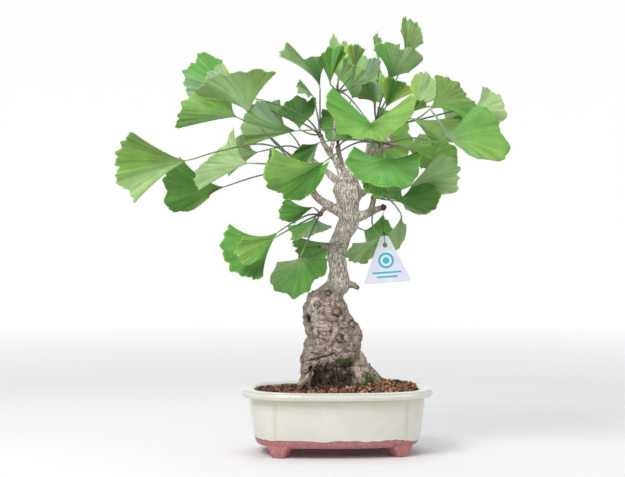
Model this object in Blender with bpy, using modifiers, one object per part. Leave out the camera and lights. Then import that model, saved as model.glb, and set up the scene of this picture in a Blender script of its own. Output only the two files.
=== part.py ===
"""Ginkgo bonsai: an old gnarled trunk with fan leaves, planted in a glazed oval pot on four feet.

Blender 4.5, metres, +Z up. X runs along the pot and Y from its front to its back. The origin lies on
the table, under the middle of the whole tree.

Lengths below are millimetres. The tree is laid out as it is seen from the front, from the height of an
eye that looks level at its middle: a place is (x, z, depth), where x runs to the right, z up, and depth
away from the eye, zero at the pot's middle. spot() turns such a place into a point of the part.
"""

import math
from collections import namedtuple

import bmesh
import bpy
import numpy as np
from mathutils import Vector

MM = 0.001
GAP = 0.3

# The view that the tree is laid out in
EYE_DISTANCE = 1550
EYE_HEIGHT = 213
VIEW_TURN = math.radians(4)
LAYOUT_X = 12.5
LAYOUT_Z = 1.5
CROWN_DEPTH = 1.35
MIDDLE_X = 1.4
MIDDLE_Y = 7

# Pot
POT_LENGTH = 190
POT_WIDTH = 145
POT_HEIGHT = 65
POT_PLACE = (24.0, -1.7)
POT_SQUARENESS = 2.8
POT_SIDES = 44
FOOT_HEIGHT = 10
FOOT_TOP = 24
FOOT_BOTTOM = 13
FOOT_THICK = 17
FOOT_PLACE = (58, 38)
FOOT_TURN = math.radians(30)
FOOT_ROOT = 2.5
FOOT_LEVELS = (0, 1.2, 4, 8)
FOOT_CURVE = 1.6
FOOT_EDGE = 1.2
FLOOR_TOP = 16
DRAIN_CUT = 30
DRAIN_ACROSS = 18
DRAIN_PLACE = 44
# Height of each ring of the pot's wall, and how far it stands in from the rim's outline
OUTER_PROFILE = (
    (10, 18), (11.5, 15), (17, 13), (32, 10.2), (47, 8.6), (54.5, 8),
    (56.8, 6), (57.6, 1.6), (60.5, 0), (63.4, 0.8), (POT_HEIGHT, 3.2),
)
INNER_PROFILE = ((POT_HEIGHT, 9.6), (63, 12.6), (60, 13.2), (32, 15.2), (20, 19), (FLOOR_TOP, 26))

# Soil
SOIL_CLEARANCE = 0.4
SOIL_EDGE = 61
SOIL_MOUND = 9
SOIL_GRAIN = 0.9
SOIL_RINGS = 7
SOIL_MOUND_LENGTH = 58
SOIL_MOUND_WIDTH = 44
SOIL_LEAN = 2.6
SOIL_LEAN_WIDTH = 45
HOLE_FLOOR = 42
SCREEN_CELLS = 7
SCREEN_CELL = 4
SCREEN_THICK = 0.8
POCKET_CUT = 4

# Trunk
TRUNK_SIDES = 22
PLUG_FLOOR = HOLE_FLOOR + 0.5
# Height, left edge, right edge, middle depth and half depth of the trunk
TRUNK_RINGS = (
    (70, 2, 82, -1, 31), (78, 1, 75, -1, 29), (84, 2, 69, -1, 26), (92, 1, 64, -1, 25),
    (98, 2, 61, -2, 24), (104, 4, 61.5, -2, 25), (112, 8, 62, -2, 25), (119, 6, 60, -2, 25),
    (130, 2, 54.5, -2, 24), (138, 3, 49, -2, 23), (146, 5.5, 47, -2, 21), (153, 7.5, 45, -2, 19),
    (158, 10, 47, -2, 17), (163, 19, 49.5, -1, 14.5), (170, 27, 50, 0, 12), (179, 29, 48, 1, 10.5),
    (193, 27, 45.5, 2, 10), (203, 27, 48, 2, 10.5), (212, 30, 51.5, 1, 11), (221, 35, 58, 0, 11.5),
    (232, 39, 60.5, 0, 11), (242, 38, 59, 0, 10.5), (252, 35, 61, 0, 12), (260, 32, 62, 0, 12.5),
    (270, 36, 58.5, 0, 10), (277, 40, 53, 0, 7), (282, 43, 49, 0, 4),
)
# Burrs and hollows of the bark: x, z, depth, spread and height
KNOTS = (
    (14, 156, -14, 5, 5), (17, 145, -20, 5, 3), (37, 139, -24, 6, 3), (40, 112, -27, 6, 4),
    (8, 131, -16, 5, -5), (20, 96, -25, 9, -4), (30, 124, -26, 8, 3), (66, 84, -18, 8, 4),
    (12, 76, -24, 8, 4), (44, 78, -30, 7, 3), (56, 118, 14, 9, 5), (20, 110, 22, 10, 5),
    (36, 92, 28, 9, 4), (30, 140, 20, 7, 3), (50, 236, -10, 5, 3), (56, 256, -8, 5, 3),
)

# Stalks and blades
BLADE_THICK = 0.7
STALK_RADIUS = 1.0
STALK_POINTS = 6
# Columns of a blade's grid and how far out its rows lie, for margins of at least so many places
BLADE_GRIDS = (
    (10, 16, (0.07, 0.4, 0.72, 1)),
    (6, 12, (0.07, 0.4, 0.72, 1)),
    (0, 8, (0.07, 0.52, 1)),
)
BLADE_LEAN = 0.6
BLADE_NECK = 0.45
NECK_WIDTH = 2.6
NECK_REACH = 3.5
BUD_RADIUS = 2.9
BUD_HEIGHT = 3.2

# Plant tag
TAG_PLACE = (84.3, 214, -19)
TAG_TOP = 7.7
TAG_BASE = 48.7
TAG_HEIGHT = 47
TAG_CORNER = (1.6, 2)
TAG_THICK = 0.8
TAG_HOLE = 5
TAG_HOLE_DROP = 9.2
TAG_LEAN = math.radians(4)
THREAD_RADIUS = 0.3
THREAD_POINTS = 40
LOOP_RADIUS = 1.9
KNOT_RADIUS = 1.2
KNOT_DROP = 1.2
TIE_RADIUS = 3.2
STUB_POINTS = 31
TIE_POINT = 27


Leaf = namedtuple(
    "Leaf", "base margin stalk bow ripple waves cleft lean", defaults=(3, 1.6, 2.5, 0, BLADE_LEAN)
)


def turned(points):
    """Points of the view's own frame, in mm, as points of the part, in metres."""
    across, away, up = np.moveaxis(np.asarray(points, float), -1, 0)
    cosine, sine = math.cos(VIEW_TURN), math.sin(VIEW_TURN)
    x = across * cosine + away * sine - MIDDLE_X
    y = away * cosine - across * sine - MIDDLE_Y
    return np.stack((x, y, up), axis=-1) * MM


def spot(x, z, depth):
    """The point that the eye sees at x and z, and that lies depth behind the pot's middle."""
    grow = 1 + depth / EYE_DISTANCE
    up = EYE_HEIGHT + (z + LAYOUT_Z - EYE_HEIGHT) * grow
    return turned(((x - LAYOUT_X) * grow, depth, up))


def spots(places):
    """spot() of each place in a list of the crown's, whose depths are written for a flatter crown."""
    return np.array([spot(x, z, depth * CROWN_DEPTH) for x, z, depth in places])


def smooth_path(points, count):
    """A curve through all the points, each stretch a cubic that leaves along its neighbours' chord."""
    points = np.asarray(points, float)
    first, last = 2 * points[0] - points[1], 2 * points[-1] - points[-2]
    knots = np.vstack((first, points, last))
    place = np.linspace(0, len(points) - 1, count)
    step = np.minimum(place.astype(int), len(points) - 2)
    t = (place - step)[:, None]
    a, b, c, d = (knots[step + i] for i in range(4))
    return b + 0.5 * t * (c - a + t * (2 * a - 5 * b + 4 * c - d + t * (3 * (b - c) + d - a)))


def material(name, colour, roughness, metallic=0.0):
    made = bpy.data.materials.new(name)
    made.use_nodes = True
    shader = made.node_tree.nodes["Principled BSDF"]
    shader.inputs["Base Color"].default_value = (*colour, 1)
    shader.inputs["Roughness"].default_value = roughness
    shader.inputs["Metallic"].default_value = metallic
    return made


def placed(name, mesh, collection, finish=None):
    """A new object with this mesh, in a collection."""
    made = bpy.data.objects.new(name, mesh)
    collection.objects.link(made)
    if finish:
        mesh.materials.clear()
        mesh.materials.append(finish)
    return made


def loft(name, rings):
    """A closed skin over rings of points, with a flat face in the first ring and in the last."""
    rings = np.asarray(rings, float)
    sides = rings.shape[1]
    shape = bmesh.new()
    grid = [[shape.verts.new(point) for point in ring] for ring in rings]
    for low, high in zip(grid, grid[1:]):
        for side in range(sides):
            after = (side + 1) % sides
            shape.faces.new((low[side], low[after], high[after], high[side]))
    shape.faces.new(grid[0][::-1])
    shape.faces.new(grid[-1])
    bmesh.ops.triangulate(shape, faces=shape.faces[:])
    bmesh.ops.recalc_face_normals(shape, faces=shape.faces[:])
    mesh = bpy.data.meshes.new(name)
    shape.to_mesh(mesh)
    shape.free()
    mesh.shade_smooth()
    return mesh


def tube(name, points, radii, bevel_resolution=0):
    """A round bar along points, in metres, with a radius in mm at each, as a closed mesh."""
    curve = bpy.data.curves.new(name, "CURVE")
    curve.dimensions = "3D"
    curve.bevel_depth = MM
    curve.bevel_resolution = bevel_resolution
    curve.use_fill_caps = True
    spline = curve.splines.new("POLY")
    spline.points.add(len(points) - 1)
    for point, place, radius in zip(spline.points, points, radii):
        point.co = (*place, 1)
        point.radius = radius
    bar = bpy.data.objects.new(name, curve)
    bpy.context.scene.collection.objects.link(bar)
    mesh = bpy.data.meshes.new_from_object(bar.evaluated_get(bpy.context.evaluated_depsgraph_get()))
    bpy.data.objects.remove(bar)
    shape = bmesh.new()
    shape.from_mesh(mesh)
    bmesh.ops.remove_doubles(shape, verts=shape.verts[:], dist=1e-6)
    bmesh.ops.triangulate(shape, faces=shape.faces[:])
    bmesh.ops.recalc_face_normals(shape, faces=shape.faces[:])
    shape.to_mesh(mesh)
    shape.free()
    return mesh


def fused(name, meshes, collection, finish, solver="MANIFOLD"):
    """One object from several closed meshes that run into each other, by a Boolean union."""
    others = bpy.data.collections.new(name + "_pieces")
    bpy.context.scene.collection.children.link(others)
    for number, mesh in enumerate(meshes[1:]):
        placed(f"{name}_piece_{number}", mesh, others)
    whole = placed(name, meshes[0], collection)
    union = whole.modifiers.new("Union", "BOOLEAN")
    union.operation = "UNION"
    union.operand_type = "COLLECTION"
    union.collection = others
    union.solver = solver
    graph = bpy.context.evaluated_depsgraph_get()
    mesh = bpy.data.meshes.new_from_object(whole.evaluated_get(graph))
    whole.modifiers.clear()
    whole.data = mesh
    mesh.name = name
    mesh.materials.clear()
    mesh.materials.append(finish)
    for piece in list(others.objects):
        bpy.data.objects.remove(piece)
    bpy.data.collections.remove(others)
    return whole


def pot_ring(inset, height, sides=POT_SIDES):
    """The pot's oval at a height, inset from the rim: a superellipse, rounder than a box."""
    angle = np.linspace(0, 2 * math.pi, sides, endpoint=False)
    cosine, sine = np.cos(angle), np.sin(angle)
    power = 2 / POT_SQUARENESS
    x = (POT_LENGTH / 2 - inset) * np.sign(cosine) * np.abs(cosine) ** power
    y = (POT_WIDTH / 2 - inset) * np.sign(sine) * np.abs(sine) ** power
    x, y = x + POT_PLACE[0] - MIDDLE_X, y + POT_PLACE[1] - MIDDLE_Y
    return np.stack((x, y, np.full(sides, height)), axis=-1) * MM


def pot_point(x, y, z):
    """A point measured from the middle of the pot's underside, in metres."""
    return Vector((x + POT_PLACE[0] - MIDDLE_X, y + POT_PLACE[1] - MIDDLE_Y, z)) * MM


def foot(name, side, end):
    """A clay foot under one corner, turned to follow the oval: it narrows downwards in hollow curves."""
    turn = -side * end * FOOT_TURN
    cosine, sine = math.cos(turn), math.sin(turn)
    x, y = side * FOOT_PLACE[0], end * FOOT_PLACE[1]
    levels = np.array(FOOT_LEVELS + (FOOT_HEIGHT, FOOT_HEIGHT + FOOT_ROOT))
    spread = np.minimum(levels / FOOT_HEIGHT, 1) ** FOOT_CURVE
    half = FOOT_BOTTOM / 2 + (FOOT_TOP - FOOT_BOTTOM) / 2 * spread
    rings = []
    for level, reach in zip(levels, half):
        thick = FOOT_THICK / 2 - FOOT_EDGE * max(1 - level / FOOT_LEVELS[2], 0)
        corners = ((-reach, -thick), (reach, -thick), (reach, thick), (-reach, thick))
        rings.append([
            pot_point(x + across * cosine - away * sine, y + across * sine + away * cosine, level)
            for across, away in corners
        ])
    return loft(name, rings)


def adopted(name, collection, finish=None):
    """Names the object that was just added and takes it into a collection."""
    made = bpy.context.object
    made.name = name
    for home in list(made.users_collection):
        home.objects.unlink(made)
    collection.objects.link(made)
    if finish:
        made.data.materials.append(finish)
    return made


def cutter(name, collection):
    """Takes the object that was just added into the cutters, out of the render."""
    made = adopted(name, collection)
    made.hide_render = True
    made.display_type = "WIRE"
    return made


def cut(body, tool):
    difference = body.modifiers.new(tool.name, "BOOLEAN")
    difference.operation = "DIFFERENCE"
    difference.object = tool
    difference.solver = "EXACT"


def build_pot(parts, cutters, clay):
    """The wall, lip and floor in one loft, with four feet fused on and two drain holes cut through."""
    profile = OUTER_PROFILE + INNER_PROFILE
    wall = loft("pot", [pot_ring(inset, height) for height, inset in profile])
    feet = [foot(f"foot_{side}_{end}", side, end) for side in (-1, 1) for end in (-1, 1)]
    pot = fused("pot", [wall] + feet, parts, clay)
    for side, word in ((-1, "left"), (1, "right")):
        bpy.ops.mesh.primitive_cylinder_add(
            vertices=16,
            radius=DRAIN_ACROSS / 2 * MM,
            depth=DRAIN_CUT * MM,
            location=pot_point(side * DRAIN_PLACE, 0, FLOOR_TOP),
        )
        cut(pot, cutter(f"drain_{word}", cutters))
    return pot


def build_screens(parts, plastic):
    """A square plastic lattice over each drain hole, lying on the pot's floor."""
    for side, word in ((-1, "left"), (1, "right")):
        half = SCREEN_CELLS * SCREEN_CELL / 2
        shape = bmesh.new()
        bmesh.ops.create_grid(shape, x_segments=SCREEN_CELLS, y_segments=SCREEN_CELLS, size=half * MM)
        windows = []
        for face in shape.faces:
            middle = face.calc_center_median() / MM
            column = round((middle.x + half) / SCREEN_CELL - 0.5)
            row = round((middle.y + half) / SCREEN_CELL - 0.5)
            if column % 2 and row % 2:
                windows.append(face)
        bmesh.ops.delete(shape, geom=windows, context="FACES")
        mesh = bpy.data.meshes.new(f"drain_screen_{word}")
        shape.to_mesh(mesh)
        shape.free()
        screen = placed(f"drain_screen_{word}", mesh, parts, plastic)
        screen.location = pot_point(side * DRAIN_PLACE, 0, FLOOR_TOP + GAP)
        thick = screen.modifiers.new("Thickness", "SOLIDIFY")
        thick.thickness = SCREEN_THICK * MM
        thick.offset = 1


def trunk_section(height):
    """Middle x, half width, middle depth and half depth of the trunk at a height."""
    levels, left, right, depth, half_depth = np.array(TRUNK_RINGS).T
    lowest = max(height, levels[0])
    edges = [np.interp(lowest, levels, values) for values in (left, right, depth, half_depth)]
    return (edges[0] + edges[1]) / 2, (edges[1] - edges[0]) / 2, edges[2], edges[3]


def trunk_ring(height, extra=0.0, sides=TRUNK_SIDES):
    """The trunk's outline at a height: an oval, lobed where the roots spread and grooved above.

    The lobes are waves round the outline that vanish at its left and right edges, and they fade with
    height. Each knot adds a rounded bump or hollow. extra moves the whole outline outwards.
    """
    middle, half_width, depth, half_depth = trunk_section(height)
    angle = np.linspace(0, 2 * math.pi, sides, endpoint=False)
    rooty = np.clip((110 - height) / 40, 0, 1)
    turn = max(height, TRUNK_RINGS[0][0]) / 30
    wave = 0.10 * np.sin(3 * angle + 0.4) + 0.06 * np.sin(5 * angle + 1.1)
    groove = 0.07 * np.sin(4 * angle + turn) + 0.04 * np.sin(7 * angle - 2 * turn)
    swell = 1 + np.sin(angle) ** 2 * (rooty * wave + (1 - rooty) * groove)
    x = middle + (half_width * swell + extra) * np.cos(angle)
    away = depth + (half_depth * swell + extra) * np.sin(angle)
    level = max(height, TRUNK_RINGS[0][0])
    for knot_x, knot_z, knot_depth, spread, rise in KNOTS:
        distance = (x - knot_x) ** 2 + (level - knot_z) ** 2 + (away - knot_depth) ** 2
        bump = rise * np.exp(-distance / (2 * spread**2))
        x, away = x + bump * np.cos(angle), away + bump * np.sin(angle)
    up = np.full(sides, height + LAYOUT_Z)
    return turned(np.stack((x - LAYOUT_X, away, up), axis=-1))


BRANCHES = {
    "leader": (
        (43, 274, 0, 5), (37, 287, 2, 3.6), (29.5, 297, 3, 3.1), (24, 306, 4, 2.8), (21, 313, 5, 2.6),
    ),
    "top": ((31, 295, 3, 2.4), (34, 318, 8, 2.1), (36, 340, 6, 1.9), (38, 356, 2, 2.1)),
    "left": (
        (44, 236, 0, 6), (28, 245, -3, 4.8), (16, 254, -5, 4), (10, 266, -6, 3.3), (3, 278, -8, 2.8),
    ),
    "low_left": ((29, 246, -4, 3.4), (24, 241, -9, 2.7), (21, 237, -12, 2.5)),
    "stub_right": ((52, 230, -2, 6), (68, 237, -8, 4.6), (77, 240.5, -12, 3.4), (86, 243.5, -15, 2.6)),
    "low_right": ((69, 236, -8, 3.4), (72, 245, -10, 2.9), (73, 251, -11, 2.5)),
    "stub_left": ((36, 200, -2, 5), (27, 204, -7, 3.4), (18, 203, -9, 1.8)),
    "stub_low": ((42, 166, -1, 5), (53, 165, -5, 3.6), (59, 161, -7, 2)),
    "right": (
        (50, 264, -1, 6), (60, 283, -5, 4.8), (70, 296, -8, 4.1), (79, 302, -10, 3.6),
        (97, 305, -11, 2.6),
    ),
    "front": ((77, 299, -9, 3.2), (80, 303, -15, 2.8), (81, 306, -20, 2.6)),
    "right_twig": ((86, 303, -10, 2.8), (89, 312, -7, 2.4), (93, 319, -5, 2.2), (96, 324, -4, 2.2)),
    "high_right": ((66, 291, -7, 3.2), (69, 306, 0, 2.6), (74, 318, 6, 2.3), (76, 327, 8, 2.2)),
    "back": ((46, 262, 4, 5), (43, 278, 22, 3.8), (40, 292, 36, 3), (38, 302, 46, 2.6)),
    "back_left": ((42, 266, 2, 5), (24, 280, 20, 3.2), (10, 292, 34, 2.8), (2, 300, 42, 2.4)),
    "back_right": ((52, 252, 4, 5), (68, 260, 20, 3.4), (86, 270, 34, 2.8), (98, 278, 42, 2.4)),
    "low_back": ((46, 212, 4, 4), (50, 217, 15, 3), (51, 221, 24, 2.5)),
}


def build_trunk(parts, bark):
    """The trunk's loft, from the flat foot of its root plug to the cut top, with branches fused on."""
    levels = [PLUG_FLOOR - LAYOUT_Z] + [ring[0] for ring in TRUNK_RINGS]
    meshes = [loft("trunk", [trunk_ring(level) for level in levels])]
    for name, places in BRANCHES.items():
        points = spots([place[:3] for place in places])
        radii = [[place[3]] for place in places]
        count = len(places) + 1
        path = smooth_path(points, count)
        thickness = smooth_path(radii, count)[:, 0]
        meshes.append(tube(name, path, thickness, bevel_resolution=1))
    return fused("trunk", meshes, parts, bark)


def soil_height(points):
    """Height of the soil: a mound round the trunk, lower at its left than at its right, with soft uneven
    grain by summed waves.
    """
    middle, _, depth, _ = trunk_section(0)
    centre = turned((middle - LAYOUT_X, depth, 0))[:2] / MM
    x, y = (points[:, :2] / MM - centre).T
    near = np.exp(-((x / SOIL_MOUND_LENGTH) ** 2 + (y / SOIL_MOUND_WIDTH) ** 2) ** 1.4)
    grain = np.sin(0.31 * x + 1.7 * np.sin(0.23 * y)) + np.sin(0.41 * y - 1.3 * np.sin(0.19 * x))
    lean = SOIL_LEAN * np.tanh(x / SOIL_LEAN_WIDTH)
    return SOIL_EDGE + SOIL_MOUND * near + lean + SOIL_GRAIN * grain


def build_soil(parts, cutters, earth):
    """Soil as one skin: the root hole's floor and wall, the uneven top, the outer wall and the foot."""
    hole = trunk_ring(HOLE_FLOOR - LAYOUT_Z, SOIL_CLEARANCE, POT_SIDES)
    rings = [hole]
    edge = pot_ring(INNER_PROFILE[2][1] + SOIL_CLEARANCE, SOIL_EDGE)
    for step in np.linspace(0, 1, SOIL_RINGS):
        ring = hole + (edge - hole) * step
        ring[:, 2] = soil_height(ring) * MM
        rings.append(ring)
    for height, inset in INNER_PROFILE[3:]:
        lift = SOIL_CLEARANCE if height == FLOOR_TOP else 0
        rings.append(pot_ring(inset + SOIL_CLEARANCE, height + lift))
    soil = placed("soil", loft("soil", rings), parts, earth)
    size = (SCREEN_CELLS * SCREEN_CELL + 2 * GAP) * MM
    for side, word in ((-1, "left"), (1, "right")):
        top = FLOOR_TOP + SCREEN_THICK + 2 * GAP
        middle = pot_point(side * DRAIN_PLACE, 0, top - POCKET_CUT / 2)
        bpy.ops.mesh.primitive_cube_add(size=1, location=middle)
        bpy.context.object.scale = (size, size, POCKET_CUT * MM)
        cut(soil, cutter(f"pocket_{word}", cutters))


def blade_margin(leaf):
    """The margin's places as points. The blade leans: its depth grows by leaf.lean for each mm from the
    base along one way across the blade. The way turns with the place of the base, so that neighbours
    face many ways, and a leaf has a lean of its own only where the usual one would meet a neighbour.
    """
    base_x, base_z, _ = leaf.base
    way = base_x + base_z
    right, rise = leaf.lean * math.cos(way), leaf.lean * math.sin(way)
    return spots([(x, z, y + right * (x - base_x) + rise * (z - base_z)) for x, z, y in leaf.margin])


def blade_points(leaf, across, ways):
    """A fan blade: rays from the leaf's base to its margin, which runs through the margin's places.

    ways says how far out each row lies, from 0 at the base to 1 at the margin. Near the base the rays
    lie closer to the middle ray, so that the two straight sides hollow in. The blade bows out along
    its middle, and ripples grow towards the margin with the square of the way out. The margin's reach
    swings by a few hundredths, and a cleft pulls its middle in.
    """
    base = spots([leaf.base])[0]
    margin = smooth_path(blade_margin(leaf), across + 1)
    u = np.linspace(0, 1, across + 1)[:, None]
    phase = leaf.base[0] + leaf.base[1]
    swing = 0.018 * np.sin(20 * u + phase) + 0.014 * np.sin(41 * u + 2 * phase)
    notch = leaf.cleft * np.exp(-(((u - 0.5) / 0.045) ** 2))
    reach = (margin - base) * (1 + swing - notch)
    middle = reach.mean(axis=0)
    normal = np.cross(reach[:-1], reach[1:]).sum(axis=0)
    normal /= np.linalg.norm(normal)
    v = np.asarray(ways, float)[:, None, None]
    flare = BLADE_NECK + (1 - BLADE_NECK) * v**0.8
    rays = middle + (reach - middle) * flare
    bow = leaf.bow * 4 * v * (1 - v)
    ripple = leaf.ripple * v**2 * np.sin(2 * math.pi * leaf.waves * u + phase)
    return base + rays * v + normal * (bow + ripple) * MM


def unit(vectors):
    return vectors / np.linalg.norm(vectors, axis=-1, keepdims=True)


def grid_normals(grid):
    """The outward direction at each point of a grid, square to its rows and its columns."""
    return unit(np.cross(np.gradient(grid, axis=1), np.gradient(grid, axis=0)))


def stalk_rings(path, neck, side, out):
    """Four corners round each point of a path that goes on to the neck, squared to side and out there."""
    rings = []
    steps = unit(np.diff(np.vstack((path, neck)), axis=0))
    along = unit(np.vstack((steps[:1], steps[:-1] + steps[1:])))
    for place, tangent in zip(path[::-1], along[::-1]):
        side = unit(side - side.dot(tangent) * tangent)
        out = unit(out - out.dot(tangent) * tangent - out.dot(side) * side)
        reach = STALK_RADIUS * MM * math.sqrt(0.5)
        corners = ((-1, 1), (1, 1), (1, -1), (-1, -1))
        rings.append([place + reach * (a * side + b * out) for a, b in corners])
    return rings[::-1]


def leaf_solid(name, leaf, root):
    """A leaf as one closed skin: a four-sided stalk that opens out into the two faces of the blade.

    The neck of the blade has one column and each row beyond it has them all, so the first strip is
    two fans of triangles. Both faces of the blade are split alike.
    """
    _, across, ways = next(grid for grid in BLADE_GRIDS if len(leaf.margin) >= grid[0])
    grid = blade_points(leaf, across, ways)
    out = grid_normals(grid)
    half = out * BLADE_THICK / 2 * MM
    front, back = grid[1:] + half[1:], grid[1:] - half[1:]
    side, neck_out = unit(grid[0, -1] - grid[0, 0]), unit(out[0].mean(axis=0))
    base = spots([leaf.base])[0]
    neck = base + unit(grid[0].mean(axis=0) - base) * NECK_REACH * MM
    edge, thick = side * NECK_WIDTH / 2 * MM, neck_out * STALK_RADIUS * 0.5 * MM
    path = smooth_path(np.vstack((root, spots(leaf.stalk), base)), STALK_POINTS)
    rings = stalk_rings(path, neck, side, neck_out)
    rings.append([neck - edge + thick, neck + edge + thick, neck + edge - thick, neck - edge - thick])

    shape = bmesh.new()
    rings = [[shape.verts.new(point) for point in ring] for ring in rings]
    faces = [[[shape.verts.new(point) for point in row] for row in face] for face in (front, back)]
    shape.faces.new(rings[0])
    for low, high in zip(rings, rings[1:]):
        for corner in range(4):
            after = (corner + 1) % 4
            shape.faces.new((low[corner], low[after], high[after], high[corner]))
    left_front, right_front, right_back, left_back = rings[-1]
    middle = across // 2
    for (left, right), rows in zip(((left_front, right_front), (left_back, right_back)), faces):
        for column in range(across):
            corner = left if column < middle else right
            shape.faces.new((corner, rows[0][column], rows[0][column + 1]))
        shape.faces.new((left, rows[0][middle], right))
        for low, high in zip(rows, rows[1:]):
            for column in range(across):
                shape.faces.new((low[column], low[column + 1], high[column]))
                shape.faces.new((low[column + 1], high[column + 1], high[column]))
    for end, (upper, lower) in ((0, (left_front, left_back)), (-1, (right_front, right_back))):
        edges = [(upper, lower)] + [(high[end], low[end]) for high, low in zip(*faces)]
        for (a, b), (c, d) in zip(edges, edges[1:]):
            shape.faces.new((a, b, d, c))
    for column in range(across):
        top, bottom = faces[0][-1], faces[1][-1]
        shape.faces.new((top[column], top[column + 1], bottom[column + 1], bottom[column]))
    bmesh.ops.triangulate(shape, faces=shape.faces[:])
    bmesh.ops.recalc_face_normals(shape, faces=shape.faces[:])
    mesh = bpy.data.meshes.new(name)
    shape.to_mesh(mesh)
    shape.free()
    mesh.shade_smooth()
    return mesh


def bud(name, tip, direction):
    """The bud that a tuft's stalks grow from: a short cone on the flat end of its spur."""
    start = tip + direction * GAP * MM
    points = [start, start + direction * BUD_HEIGHT * MM]
    return tube(name, points, (BUD_RADIUS, BUD_RADIUS * 0.75), bevel_resolution=2)


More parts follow.
